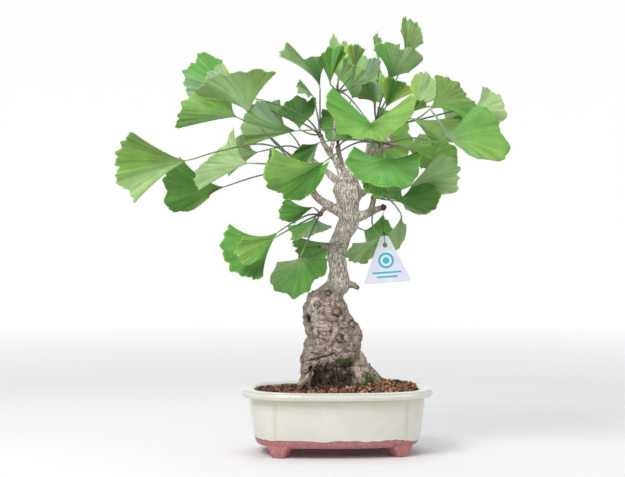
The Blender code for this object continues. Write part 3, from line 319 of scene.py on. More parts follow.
# Each lamp's place, size, power and tint
LAMPS = {
    "key": ((-0.9, -1.2, 1.6), 1.0, 29, (1, 0.99, 0.97)),
    "fill": ((1.3, -1.1, 0.7), 1.4, 4.5, (0.97, 0.98, 1)),
    "top": ((0.1, 0.5, 1.9), 1.4, 10, (1, 1, 1)),
}

# Blades, stalks and buds
BLADE_COLUMNS = 76
BLADE_ROWS = 20
BLADE_LEAN = 0.6
BLADE_NECK = 0.45
BLADE_THICK = 0.5
STALK_RADIUS = 0.85
STALK_POINTS = 24
STALK_SIDES = 8
# The margin's waves as size in parts of its reach, rate and part of the leaf's own phase; and its teeth
MARGIN_WAVES = ((0.022, 20, 1), (0.017, 41, 2), (0.009, 77, 3))
TOOTH_DEPTH = 0.026
TOOTH_SHARPNESS = 14
CLEFT_WIDTH = 0.045
# Pleats along the blade and folds at its margin, as height in mm and number
PLEATS = (0.28, 13)
FOLDS = (0.5, 5)
# How much thicker than BLADE_THICK each half of the blade is at its neck, and thinner at its margin
NECK_SWELL = 0.45
MARGIN_THIN = 0.1
BUD_RADIUS = 2.9
BUD_HEIGHT = 3.2
# Where in the bud the stalks start, as a part of its height, and how much the bud narrows and ripples
BUD_ROOT = 0.6
BUD_TAPER = 0.28
BUD_RIPPLE = 0.05
BUD_ROWS = 14
BUD_SIDES = 18

# Greens of the leaves: their own greens with painted light and shade in them, paler for leaves and sides that
# lie in light and darker for those in shade
TONES = {
    "lime": "C0DE70",
    "spring": "96C662",
    "grass": "74B654",
    "moss": "588E38",
    "deep": "47862C",
    "forest": "3F7226",
    "olive": "8CB05A",
    "sage": "9FC185",
    "pale": "B8D598",
    "mist": "A4C2A0",
    "bronze": "7C8454",
}

# A leaf: its base, places of its margin and its stalk, its tones, and what shapes the blade
Leaf = namedtuple(
    "Leaf", "base margin stalk tones bow ripple waves cleft lean", defaults=(3, 1.6, 2.5, 0, BLADE_LEAN)
)
# A skin: its points, faces as numbers of points, UV place and tone of each point, and material slot
Shell = namedtuple("Shell", "points quads caps uv tone slot")


def turned(points):
    """Points of the view's own frame, in mm, as points of the part, in metres."""
    across, away, up = np.moveaxis(np.asarray(points, float), -1, 0)
    cosine, sine = math.cos(VIEW_TURN), math.sin(VIEW_TURN)
    x = across * cosine + away * sine - MIDDLE_X
    y = away * cosine - across * sine - MIDDLE_Y
    return np.stack((x, y, up), axis=-1) * MM


def spot(x, z, depth):
    """The point that the eye sees at x and z, and that lies depth behind the pot's middle."""
    grow = 1 + depth / EYE_DISTANCE
    up = EYE_HEIGHT + (z + LAYOUT_Z - EYE_HEIGHT) * grow
    return turned(((x - LAYOUT_X) * grow, depth, up))


def spots(places, deepen=CROWN_DEPTH):
    """spot() of each place in a list. The crown's depths are written for a flatter crown, so they grow."""
    return np.array([spot(x, z, depth * deepen) for x, z, depth in places])


def smooth_path(points, count):
    """A curve through all the points, each stretch a cubic that leaves along its neighbours' chord."""
    points = np.asarray(points, float)
    first, last = 2 * points[0] - points[1], 2 * points[-1] - points[-2]
    knots = np.vstack((first, points, last))
    place = np.linspace(0, len(points) - 1, count)
    step = np.minimum(place.astype(int), len(points) - 2)
    t = (place - step)[:, None]
    a, b, c, d = (knots[step + i] for i in range(4))
    return b + 0.5 * t * (c - a + t * (2 * a - 5 * b + 4 * c - d + t * (3 * (b - c) + d - a)))


def limb(places, count, deepen=CROWN_DEPTH):
    """The middle line of a limb, and its radius along it in mm, from its places with their radii."""
    path = smooth_path(spots([place[:3] for place in places], deepen), count)
    return path, smooth_path([[place[3]] for place in places], count)[:, 0]


def unit(vectors):
    """Each vector at a length of one."""
    return vectors / np.linalg.norm(vectors, axis=-1, keepdims=True)


def smooth_step(low, high, values):
    """0 at low and before it, 1 at high and past it, eased between; low may be the greater one."""
    t = np.clip((values - low) / (high - low), 0, 1)
    return t * t * (3 - 2 * t)


def lattice(points, size, seed):
    """A smooth random value from 0 to 1 at each point: random numbers on a lattice, eased between."""
    scaled = points / size + seed * 17.31
    cell = np.floor(scaled).astype(np.int64)
    part = scaled - cell
    part = part * part * (3 - 2 * part)
    total = np.zeros(len(points))
    for corner in itertools.product((0, 1), repeat=3):
        mixed = ((cell + corner) * (73856093, 19349663, 83492791)).sum(axis=-1)
        mixed = (mixed ^ (mixed >> 13)) * 1274126177
        value = ((mixed ^ (mixed >> 16)) & 0xFFFFFF) / 0xFFFFFF
        total += value * np.prod(np.where(corner, part, 1 - part), axis=-1)
    return total


def ridges(points, size, seed):
    """1 along the middle values of a lattice, falling to 0 on either side: a net of winding lines."""
    return 1 - np.abs(2 * lattice(points, size, seed) - 1)


def linear(hexes):
    """A colour's linear red, green and blue from its sRGB hex value."""
    values = np.array([int(hexes[i:i + 2], 16) for i in (0, 2, 4)]) / 255
    return np.where(values <= 0.04045, values / 12.92, ((values + 0.055) / 1.055) ** 2.4)


def grid_quads(rows, columns, ring):
    """The corners of the quads of a grid of points, its last column joined to its first for a ring."""
    index = np.arange(rows * columns).reshape(rows, columns)
    if ring:
        index = np.hstack((index, index[:, :1]))
    quads = np.stack((index[:-1, :-1], index[:-1, 1:], index[1:, 1:], index[1:, :-1]), axis=-1)
    return quads.reshape(-1, 4)


def frames(path):
    """Two directions square to a path at each of its points, carried along it with no twist."""
    along = unit(np.gradient(path, axis=0))
    side = np.cross(along[0], (0.3, 0.2, 1.0))
    sides = []
    for tangent in along:
        side = unit(side - side.dot(tangent) * tangent)
        sides.append(side)
    sides = np.array(sides)
    return sides, np.cross(along, sides)


def closed(rings, tone, uv=None, slot=0):
    """The skin of a grid of points whose rows are rings, with a flat cap on the first and the last."""
    rows, columns = rings.shape[:2]
    last = (rows - 1) * columns
    caps = [tuple(range(columns - 1, -1, -1)), tuple(range(last, last + columns))]
    uv = np.zeros((rows * columns, 2)) if uv is None else uv.reshape(-1, 2)
    tones = np.broadcast_to(tone, rings.shape).reshape(-1, 3)
    return Shell(rings.reshape(-1, 3), grid_quads(rows, columns, ring=True), caps, uv, tones, slot)


def bar(path, radii, sides, slot=0, tone=(1.0, 1.0, 1.0)):
    """A round bar: a circle of the radius at each point of a path, square to it, with flat ends."""
    across, over = frames(path)
    angle = np.linspace(0, 2 * math.pi, sides, endpoint=False)
    reach = np.asarray(radii, float)[:, None, None] * MM
    circle = np.cos(angle)[:, None] * across[:, None] + np.sin(angle)[:, None] * over[:, None]
    uv = np.stack(np.meshgrid(angle / (2 * math.pi), np.linspace(0, 1, len(path))), axis=-1)
    return closed(path[:, None] + reach * circle, tone, uv, slot)


def sheet(front, back, uv, tone, ring=False):
    """A thin closed sheet: a front grid and a back grid of points, joined by a rim round their border."""
    rows, columns = front.shape[:2]
    count = rows * columns
    index = np.arange(count).reshape(rows, columns)
    face = grid_quads(rows, columns, ring)
    quads = [face, face[:, ::-1] + count]
    if ring:
        borders = [np.append(index[-1], index[-1, 0])[::-1], np.append(index[0], index[0, 0])]
    else:
        borders = [np.concatenate((index[0], index[1:, -1], index[-1, -2::-1], index[-2::-1, 0]))]
    for border in borders:
        here, after = border[:-1], border[1:]
        quads.append(np.stack((after, here, here + count, after + count), axis=-1))
    points = np.vstack((front.reshape(-1, 3), back.reshape(-1, 3)))
    both = [np.vstack((values.reshape(-1, values.shape[-1]),) * 2) for values in (uv, tone)]
    return Shell(points, np.vstack(quads), [], *both, 0)


def flipped(shell):
    """The same skin with its faces turned inside out."""
    return shell._replace(quads=shell.quads[:, ::-1], caps=[cap[::-1] for cap in shell.caps])


def outward(shell):
    """The skin with its faces pointing out, by the sign of the volume that its quads enclose."""
    a, b, c, d = (shell.points[shell.quads[:, i]] for i in range(4))
    volume = (np.cross(a, b) * c).sum() + (np.cross(a, c) * d).sum()
    return flipped(shell) if volume < 0 else shell


def placed(name, data):
    """A new object in the scene with this mesh, lamp or camera, at the origin and unturned."""
    made = bpy.data.objects.new(name, data)
    bpy.context.scene.collection.objects.link(made)
    return made


def paint(mesh, tones):
    """Gives each vertex its colour, as the attribute tone that the materials read."""
    layer = mesh.color_attributes.new("tone", "FLOAT_COLOR", "POINT")
    layer.data.foreach_set("color", np.hstack((tones, np.ones((len(tones), 1)))).ravel())


def as_built(made):
    """A new mesh of an object as its modifiers leave it."""
    return bpy.data.meshes.new_from_object(made.evaluated_get(bpy.context.evaluated_depsgraph_get()))


def piece(name, shells, finishes, smooth=True):
    """One object from several skins, with their UV map, their tones and a material for each slot."""
    shells = [outward(shell) for shell in shells]
    starts = np.cumsum([0] + [len(shell.points) for shell in shells])
    faces = []
    slots = []
    for shell, start in zip(shells, starts):
        faces += (shell.quads + start).tolist() + [[corner + start for corner in cap] for cap in shell.caps]
        slots += [shell.slot] * (len(shell.quads) + len(shell.caps))
    mesh = bpy.data.meshes.new(name)
    mesh.from_pydata(np.vstack([shell.points for shell in shells]), [], faces)
    corners = np.empty(len(mesh.loops), dtype=np.int32)
    mesh.loops.foreach_get("vertex_index", corners)
    uv = np.vstack([shell.uv for shell in shells])
    mesh.uv_layers.new(name="surface").data.foreach_set("uv", uv[corners].ravel())
    paint(mesh, np.vstack([shell.tone for shell in shells]))
    for finish in finishes:
        mesh.materials.append(finish)
    mesh.polygons.foreach_set("material_index", slots)
    mesh.polygons.foreach_set("use_smooth", [smooth] * len(mesh.polygons))
    mesh.update()
    made = placed(name, mesh)
    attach(made, "root")
    return made


# Each tuft of leaves; a leaf's tones are those of its first side, middle, last side and root, and they hold
# painted light and shade for sides that lie lit or shaded
SPRAYS = {
    "left": (
        Leaf((-113, 289, -20),
            ((-168, 318, -30), (-181, 304, -26), (-184, 286, -20), (-182, 268, -22), (-164, 248, -32)),
            ((-12, 297, -8), (-40, 306, -8), (-80, 299, -10)), "olive spring pale pale", waves=3.5),
        Leaf((-76, 263, -4),
            ((-122, 294, 4), (-137, 270, 4), (-130, 241, 0), (-110, 239, -6), (-91, 252, -10)),
            ((-18, 279, -7), (-46, 273, -6)), "moss moss olive spring", waves=3, lean=0.4),
        Leaf((-52, 287, -14),
            ((-66, 323, -6), (-82, 299, -24), (-98, 287, -32), (-106, 274, -36), (-101, 260, -38)),
            ((-20, 285, -10),), "pale pale sage pale", bow=-2),
        Leaf((-63, 333, 8),
            ((-124, 321, 2), (-121, 339, 6), (-107, 356, 12), (-84, 362, 8), (-68, 354, 4)),
            ((-8, 292, 0), (-36, 318, 6)), "moss spring grass sage", bow=4, lean=-0.3),
        Leaf((-51, 337, -20),
            ((-23, 378, -16), (-43, 380, -24), (-73, 377, -32), (-90, 372, -32), (-105, 359, -26),
             (-96, 350, -20)),
            ((-10, 291, -14), (-30, 312, -18)), "olive sage olive sage", bow=-4),
    ),
    "leader": (
        Leaf((-56, 348, 4),
            ((-70, 376, 4), (-78, 386, 6), (-92, 378, 4), (-96, 367, 2), (-106, 358, 0)),
            ((4, 326, 8), (-26, 338, 6)), "lime mist lime lime", bow=2, ripple=1, lean=0.3),
        Leaf((-60, 355, 22),
            ((-110, 352, 24), (-117, 370, 22), (-110, 386, 24), (-96, 397, 28), (-78, 390, 32)),
            ((6, 332, 12), (-22, 345, 18)), "mist grass grass sage", bow=4, lean=-0.4),
        Leaf((-1, 321, 24),
            ((-24, 336, 26), (-15, 348, 28), (0, 353, 30), (8, 350, 28), (16, 351, 28), (13, 336, 24)),
            ((10, 316, 14),), "deep forest moss grass", bow=2, lean=-0.6),
        Leaf((20, 364, 2),
            ((-18, 393, -4), (-20, 399, 0), (-13, 405, 4), (-4, 396, 6), (4, 391, 8), (18, 393, 12),
             (26, 385, 14)),
            ((20, 338, 3),), "sage moss moss forest", bow=-3, waves=2),
        Leaf((14, 352, 14),
            ((-1, 369, 28), (-4, 363, 18), (0, 357, 8), (10, 354, 2)),
            ((18, 332, 9),), "moss sage grass sage", bow=2),
    ),
    "front": (
        Leaf((24, 288, -44),
            ((-27, 303, -54), (-34, 284, -50), (-34, 264, -46), (-20, 257, -42), (-12, 250, -40),
             (4, 251, -44), (16, 262, -52), (23, 272, -60), (30, 290, -64)),
            ((60, 308, -26), (42, 300, -36)), "spring moss grass moss", bow=-5, waves=3, lean=-0.4),
        Leaf((85, 293, -58),
            ((55, 303, -48), (45, 287, -50), (57, 273, -56), (82, 262, -62), (104, 262, -64),
             (117, 274, -60), (122, 292, -52), (117, 299, -48)),
            ((82, 302, -40),), "grass grass deep moss", bow=-5, waves=2.5, cleft=0.06, lean=0),
        Leaf((19, 308, -20),
            ((2, 306, -26), (-8, 294, -26), (3, 287, -24), (13, 288, -22)),
            ((60, 310, -19), (38, 310, -17)), "forest moss sage mist", bow=2, lean=0.3),
        Leaf((-3, 319, -4),
            ((-37, 352, 0), (-51, 343, 4), (-58, 327, 4), (-57, 312, 0), (-54, 304, -4)),
            ((60, 315, -12), (34, 321, -9)), "mist sage olive grass", bow=4, waves=3, lean=-0.6),
        Leaf((104, 303, -22),
            ((120, 318, -24), (130, 310, -25), (136, 298, -26), (132, 284, -26), (121, 280, -24)),
            ((92, 305, -20),), "pale spring olive pale", bow=2),
        Leaf((139, 307, -40),
            ((174, 344, -24), (189, 342, -28), (201, 322, -34), (208, 300, -42), (200, 288, -50),
             (180, 290, -58), (164, 300, -64), (145, 317, -66), (126, 344, -66)),
            ((92, 308, -24), (114, 312, -32)),
            "grass spring mist sage", bow=-5, waves=3, cleft=0.04, lean=0),
        Leaf((82, 284, -30),
            ((62, 267, -30), (66, 257, -30), (78, 253, -32), (88, 257, -34)),
            ((82, 298, -26),), "grass spring grass grass", bow=1),
    ),
    "top": (
        Leaf((70, 327, -62),
            ((34, 362, -48), (26, 352, -51), (27, 340, -55), (34, 329, -59), (39, 317, -62),
             (50, 315, -65), (58, 310, -67), (70, 311, -68), (82, 309, -68), (88, 313, -67),
             (99, 322, -64), (109, 330, -60), (115, 346, -52), (112, 356, -46)),
            ((45, 356, -20), (54, 347, -44)),
            "grass spring spring grass", bow=-6, waves=3, cleft=0.03, lean=-0.4),
        Leaf((30, 366, -6),
            ((18, 391, 0), (24, 399, -2), (34, 404, -4), (43, 403, -7), (46, 396, -9)),
            ((34, 362, -3),), "moss grass deep moss", bow=2),
        Leaf((38, 372, 12),
            ((28, 402, 14), (33, 415, 14), (41, 407, 14), (47, 409, 14), (54, 401, 14)),
            ((38, 363, 7),), "sage pale lime grass", bow=1),
        Leaf((54, 378, 0),
            ((46, 401, 2), (53, 406, 2), (60, 404, 0), (66, 400, -2)),
            ((44, 365, 1),), "lime sage spring sage", bow=1),
        Leaf((38, 368, -12),
            ((44, 394, -20), (50, 387, -22), (53, 377, -22)),
            ((37, 363, -6),), "sage sage pale sage", bow=1),
        Leaf((58, 366, 8),
            ((68, 390, 16), (75, 392, 14), (82, 388, 10)),
            ((48, 361, 6),), "mist mist mist sage", bow=1),
        Leaf((50, 362, -10),
            ((48, 381, -14), (57, 385, -12), (65, 378, -10), (66, 368, -12)),
            ((44, 359, -4),), "sage pale mist sage", bow=2, ripple=2.4),
    ),
    "high_right": (
        Leaf((88, 370, -4),
            ((72, 402, 4), (84, 407, 4), (97, 407, 2), (101, 400, 0), (110, 403, 0), (123, 390, -4),
             (109, 377, -4)),
            ((78, 338, 6), (83, 356, 2)), "grass sage sage deep", bow=-3, waves=2.5, lean=0.8),
        Leaf((103, 385, 14),
            ((101, 420, 16), (104, 433, 18), (113, 429, 18), (121, 421, 16), (124, 407, 12)),
            ((80, 338, 12), (92, 362, 16)), "pale pale pale sage", bow=3, lean=0.85),
        Leaf((80, 385, 18),
            ((74, 412, 24), (77, 418, 26), (80, 411, 26), (83, 402, 24)),
            ((75, 340, 16), (77, 364, 20)), "sage pale sage sage", bow=2),
        Leaf((86, 343, -10),
            ((77, 371, -12), (89, 372, -15), (104, 368, -18), (113, 358, -18)),
            ((80, 334, 0),), "lime deep lime moss", bow=-2, lean=-0.6),
        Leaf((74, 347, -4),
            ((59, 351, -12), (60, 362, -14), (69, 368, -12), (81, 367, -8)),
            ((75, 336, 3),), "bronze moss mist bronze", bow=-2),
    ),
    "right_twig": (
        Leaf((115, 340, 2),
            ((109, 362, 8), (115, 374, 14), (122, 379, 16), (131, 373, 14), (138, 363, 10), (136, 350, 4)),
            ((104, 331, 0),), "lime pale pale lime", bow=2),
        Leaf((130, 341, -10),
            ((134, 375, -2), (148, 373, 0), (160, 364, 0), (170, 352, -2), (176, 341, -6), (163, 331, -14)),
            ((108, 328, -8), (120, 333, -10)), "olive olive grass olive", bow=-4, lean=0),
        Leaf((172, 342, 14),
            ((183, 364, 18), (194, 358, 18), (203, 349, 18), (207, 334, 14), (199, 326, 10)),
            ((122, 331, 8), (150, 338, 14)), "sage pale olive pale", bow=2, lean=-0.6),
        Leaf((112, 332, -16),
            ((163, 335, -22), (165, 320, -24), (156, 311, -26), (140, 310, -26), (127, 315, -24)),
            ((102, 328, -9),), "olive olive moss sage", bow=2, lean=-0.6),
        Leaf((110, 337, -10),
            ((111, 348, -14), (121, 350, -14), (131, 343, -16)),
            ((102, 331, -6),), "lime moss olive moss", bow=1),
    ),
    "low_left": (
        Leaf((13, 243, -18),
            ((-14, 252, -22), (-20, 242, -20), (-19, 230, -18), (-6, 227, -16)),
            ((17, 240, -16),), "grass grass moss forest", bow=2),
        Leaf((15, 233, -15),
            ((-13, 224, -12), (-7, 210, -12), (6, 213, -14), (20, 217, -16), (32, 224, -18)),
            ((18, 235, -14),), "grass sage mist grass", bow=-2),
        Leaf((-22, 218, -28),
            ((-70, 225, -24), (-78, 213, -28), (-77, 194, -32), (-68, 179, -36), (-52, 172, -38),
             (-37, 172, -38)),
            ((8, 235, -22), (-8, 227, -26)), "grass grass moss grass", bow=-5, waves=3),
        Leaf((-24, 213, -40),
            ((-57, 213, -46), (-64, 202, -46), (-62, 191, -48), (-50, 186, -50), (-37, 192, -50)),
            ((9, 231, -26), (-8, 222, -34)), "spring spring grass grass", bow=2),
        Leaf((0, 193, -28),
            ((-24, 187, -24), (-29, 172, -26), (-23, 158, -28), (-6, 152, -32), (9, 159, -36),
             (15, 170, -38), (26, 177, -38), (28, 191, -34)),
            ((15, 226, -22), (7, 208, -26)), "sage grass moss sage", bow=-4, waves=3, cleft=0.05),
    ),
    "low_right": (
        Leaf((80, 213, -19),
            ((52, 207, -22), (46, 192, -26), (58, 187, -28), (68, 186, -28)),
            ((76, 254, -22), (72, 228, -24)), "sage sage olive sage", bow=2),
        Leaf((102, 235, -2),
            ((88, 216, 4), (90, 204, 4), (97, 200, 4), (104, 210, 4), (107, 226, 2)),
            ((80, 257, -8), (93, 247, -4)), "pale pale sage sage", bow=1),
        Leaf((95, 249, -26),
            ((112, 264, -14), (130, 267, -18), (140, 256, -26), (134, 240, -34), (120, 235, -38),
             (105, 241, -38)),
            ((82, 251, -20),), "deep moss sage grass", bow=-2),
        Leaf((110, 264, -6),
            ((139, 298, 2), (153, 292, 0), (160, 281, -4), (157, 277, -4), (160, 270, -6), (155, 259, -10),
             (142, 255, -12)),
            ((82, 257, -10), (96, 259, -8)), "sage sage sage sage", bow=-3, waves=2),
    ),
    "low_back": (
        Leaf((41, 208, 30),
            ((-5, 214, 38), (-6, 203, 36), (2, 191, 34), (22, 182, 32)),
            ((49, 220, 30),), "moss moss grass moss", bow=3),
        Leaf((64, 220, 44),
            ((84, 236, 50), (92, 218, 58), (84, 200, 58), (68, 190, 54)),
            ((55, 223, 34),), "moss grass sage grass", bow=3),
    ),
    "back": (
        Leaf((46, 340, 34),
            ((22, 341, 24), (20, 328, 22), (26, 313, 22), (42, 308, 26), (54, 314, 32)),
            ((36, 320, 50), (40, 338, 44)), "moss grass moss moss", bow=2),
        Leaf((52, 352, 62),
            ((28, 385, 60), (48, 397, 64), (72, 390, 68), (88, 366, 70), (80, 348, 68)),
            ((42, 325, 54),), "grass sage grass moss", bow=4, waves=3, lean=0.3),
        Leaf((62, 312, 78),
            ((78, 344, 82), (104, 334, 86), (112, 308, 88), (96, 284, 86), (70, 282, 82)),
            ((46, 310, 62),), "grass spring grass grass", bow=4, waves=3),
    ),
    "back_left": (
        Leaf((-14, 322, 62),
            ((-20, 350, 56), (-42, 346, 60), (-55, 328, 64), (-52, 308, 66)),
            ((-4, 310, 52),), "sage grass moss grass", bow=3),
        Leaf((-2, 292, 64),
            ((-30, 300, 70), (-34, 276, 74), (-20, 256, 74), (2, 256, 72), (16, 272, 68)),
            ((0, 300, 54),), "grass moss grass grass", bow=4, waves=3),
        Leaf((-42, 298, 34),
            ((-54, 318, 30), (-72, 306, 30), (-80, 290, 32), (-72, 274, 34)),
            ((-14, 304, 44),), "sage pale sage sage", bow=3),
    ),
    "back_right": (
        Leaf((120, 292, 56),
            ((120, 316, 58), (142, 316, 54), (156, 300, 52), (152, 280, 52), (134, 268, 54)),
            ((108, 284, 50),), "grass spring grass sage", bow=3, waves=3),
        Leaf((104, 272, 66),
            ((72, 284, 78), (66, 264, 80), (82, 252, 80), (104, 250, 78)),
            ((102, 278, 54),), "moss grass moss moss", bow=3, lean=0.5),
        Leaf((146, 322, 34),
            ((140, 348, 34), (160, 352, 32), (180, 338, 30), (186, 320, 30), (172, 304, 32)),
            ((112, 292, 46), (130, 310, 40)), "pale sage pale sage", bow=3, waves=3, lean=-0.6),
    ),
}


def node(tree, kind, sockets=None, stops=(), **settings):
    """Adds a node with its settings, and sets or links its inputs by name or number.

    An input takes a number, a hex colour, a socket, or a node by its first output in use. The stops of
    a colour ramp are places and hex colours, from low to high.
    """
    made = tree.nodes.new("ShaderNode" + kind)
    for key, value in settings.items():
        setattr(made, key, value)
    for key, value in (sockets or {}).items():
        if isinstance(value, bpy.types.Node):
            value = next(output for output in value.outputs if output.enabled)
        if isinstance(value, bpy.types.NodeSocket):
            tree.links.new(value, made.inputs[key])
        else:
            made.inputs[key].default_value = (*linear(value), 1) if isinstance(value, str) else value
    for number, (place, value) in enumerate(stops):
        elements = made.color_ramp.elements
        element = elements[number] if number < len(elements) else elements.new(place)
        element.position = place
        element.color = (*linear(value), 1)
    return made


def material(name):
    """A new material with no nodes yet but its Object coordinates."""
    made = bpy.data.materials.new(name)
    made.use_nodes = True
    made.node_tree.nodes.clear()
    return made, made.node_tree, node(made.node_tree, "TexCoord").outputs["Object"]


def grained(name, grain, roughness, relief=0, light=(), stops=()):
    """A material with one grain of noise, and relief where its height is given in metres.

    The grain picks a colour from the stops of a ramp, or else it lights each point's tone up and down.
    """
    made, tree, place = material(name)
    noise = node(tree, "TexNoise", {"Vector": place, **grain})
    if stops:
        shade = node(tree, "ValToRGB", {0: noise}, stops)
    else:
        tone = node(tree, "Attribute", attribute_name="tone")
        level = node(tree, "MapRange", {0: noise, **dict(enumerate(light, 1))})
        shade = node(tree, "VectorMath", {0: tone, "Scale": level}, operation="SCALE")
    sockets = {"Base Color": shade}
    if relief:
        sockets["Normal"] = node(tree, "Bump", {"Height": noise, "Strength": 1.0, "Distance": relief})
    skin = node(tree, "BsdfPrincipled", sockets)
    skin.inputs["Roughness"].default_value = roughness
    node(tree, "OutputMaterial", {"Surface": skin})
    return made


def leaf_finish():
    """Ginkgo blade: a thin waxy leaf. Fine veins fan out from the root, and the light shines through."""
    made, tree, place = material("leaf_blade")
    tone = node(tree, "Attribute", attribute_name="tone")
    surface = node(tree, "UVMap", uv_map="surface").outputs["UV"]
    way = node(tree, "SeparateXYZ", {0: surface}).outputs["Y"]
    # Veins are about 1 mm apart in life; their bundles and pleats show at the photo's scale
    fan = node(tree, "Mapping", {"Vector": surface, "Scale": (70, 1.5, 1)})
    streak = node(tree, "TexNoise", {"Vector": fan, "Scale": 1.0, "Detail": 3.0})
    # The broad bands across the fan are painted light and shade of the blade's pleats, laid over the veins'
    # own streaks
    wide = node(tree, "Mapping", {"Vector": surface, "Scale": (13, 0.9, 1)})
    band = node(tree, "TexNoise", {"Vector": wide, "Scale": 1.0, "Detail": 2.0})
    blotch = node(tree, "TexNoise", {"Vector": place, "Scale": 70.0, "Detail": 4.0})
    fine = node(tree, "MapRange", {0: streak, 1: 0.3, 2: 0.7, 3: 0.84, 4: 1.1})
    pleat_light_and_shade = node(tree, "MapRange", {0: band, 1: 0.32, 2: 0.68, 3: 0.8, 4: 1.12})
    patch = node(tree, "MapRange", {0: blotch, 1: 0.3, 2: 0.7, 3: 0.94, 4: 1.2})
    light = node(tree, "Math", {0: fine, 1: pleat_light_and_shade}, operation="MULTIPLY")
    light = node(tree, "Math", {0: light, 1: patch}, operation="MULTIPLY")
    shade = node(tree, "VectorMath", {0: tone, "Scale": light}, operation="SCALE")
    ragged = node(tree, "Math", {0: blotch, 1: 0.02, 2: way}, operation="MULTIPLY_ADD")
    edge = node(tree, "MapRange", {0: ragged, 1: 0.99, 2: 1.006, 3: 0.0, 4: 0.6})
    shade = node(tree, "Mix", {0: edge, 6: shade, 7: "B4DE63"}, data_type="RGBA")
    relief = node(tree, "Bump", {"Height": streak, "Strength": 0.6, "Distance": 0.0004})
    skin = node(tree, "BsdfPrincipled", {"Base Color": shade, "Normal": relief})
    skin.inputs["Roughness"].default_value = 0.48
    skin.inputs["IOR"].default_value = 1.42
    yellow = node(tree, "Mix", {0: 1.0, 6: shade, 7: "F4FFB4"}, data_type="RGBA", blend_type="MULTIPLY")
    glow = node(tree, "BsdfTranslucent", {"Color": yellow})
    both = node(tree, "MixShader", {0: 0.3, 1: skin, 2: glow})
    node(tree, "OutputMaterial", {"Surface": both})
    return made


def stalk_finish():
    """Leaf stalk: smooth grey-green skin, brown at the bud and paler where it meets the blade."""
    made, tree, place = material("leaf_stalk")
    surface = node(tree, "UVMap", uv_map="surface").outputs["UV"]
    along = node(tree, "SeparateXYZ", {0: surface}).outputs["Y"]
    stops = ((0.0, "4A4434"), (0.2, "55604A"), (0.75, "687A5A"), (1.0, "8DB06A"))
    shade = node(tree, "ValToRGB", {0: along}, stops)
    blotch = node(tree, "TexNoise", {"Vector": place, "Scale": 200.0})
    light = node(tree, "MapRange", {0: blotch, 1: 0.3, 2: 0.7, 3: 0.75, 4: 1.1})
    shade = node(tree, "VectorMath", {0: shade, "Scale": light}, operation="SCALE")
    skin = node(tree, "BsdfPrincipled", {"Base Color": shade})
    skin.inputs["Roughness"].default_value = 0.5
    node(tree, "OutputMaterial", {"Surface": skin})
    return made


def bud_finish():
    """Spur bud: dry brown scales, paler where the bark has split."""
    stops = ((0.3, "40332A"), (0.55, "75604E"), (0.75, "A08E7C"))
    return grained("spur_bud", {"Scale": 600.0, "Detail": 4.0}, 0.85, 0.0005, stops=stops)


def bark_finish():
    """Ginkgo bark: dry. Upright scales 2 mm wide between dark furrows above; a wrinkled skin on the burl. The
    low places of both are darker by painted shade, over the furrows' own darker bark.
    """
    made, tree, place = material("bark")
    tone = node(tree, "Attribute", attribute_name="tone")
    height = node(tree, "SeparateXYZ", {0: place}).outputs["Z"]
    drift = node(tree, "TexNoise", {"Vector": place, "Scale": 130.0, "Detail": 3.0})
    bend = {0: drift.outputs["Color"], 1: (0.006, 0.006, 0.006), 2: place}
    bent = node(tree, "VectorMath", bend, operation="MULTIPLY_ADD")
    upright = node(tree, "Mapping", {"Vector": bent, "Scale": (520, 520, 95)})
    scale = node(tree, "TexVoronoi", {"Vector": upright, "Scale": 1.0}, feature="DISTANCE_TO_EDGE")
    ridge = node(tree, "MapRange", {0: scale, 1: 0.0, 2: 0.14, 3: 0.0, 4: 1.0})
    slanted = node(tree, "Mapping", {"Vector": bent, "Rotation": (0, 0.5, 0), "Scale": (330, 330, 760)})
    swirl = {"Vector": slanted, "Scale": 1.0, "Detail": 6.0, "Roughness": 0.66, "Distortion": 1.2}
    wrinkle = node(tree, "TexNoise", swirl)
    crinkle = node(tree, "MapRange", {0: wrinkle, 1: 0.39, 2: 0.51, 3: 0.0, 4: 1.0})
    above = node(tree, "MapRange", {0: height, 1: 0.152, 2: 0.17, 3: 0.0, 4: 1.0})
    rise = node(tree, "Mix", {0: above, 2: crinkle, 3: ridge}, data_type="FLOAT")
    # Painted shade: the lower the relief, the darker the bark
    light = node(tree, "MapRange", {0: rise, 1: 0.0, 2: 1.0, 3: 0.38, 4: 1.28})
    patch = node(tree, "TexNoise", {"Vector": place, "Scale": 110.0, "Detail": 4.0})
    cloud = node(tree, "MapRange", {0: patch, 1: 0.3, 2: 0.7, 3: 0.8, 4: 1.14})
    light = node(tree, "Math", {0: light, 1: cloud}, operation="MULTIPLY")
    shade = node(tree, "VectorMath", {0: tone, "Scale": light}, operation="SCALE")
    relief = node(tree, "Bump", {"Height": rise, "Strength": 0.9, "Distance": 0.0009})
    skin = node(tree, "BsdfPrincipled", {"Base Color": shade, "Normal": relief})
    skin.inputs["Roughness"].default_value = 0.9
    node(tree, "OutputMaterial", {"Surface": skin})
    return made


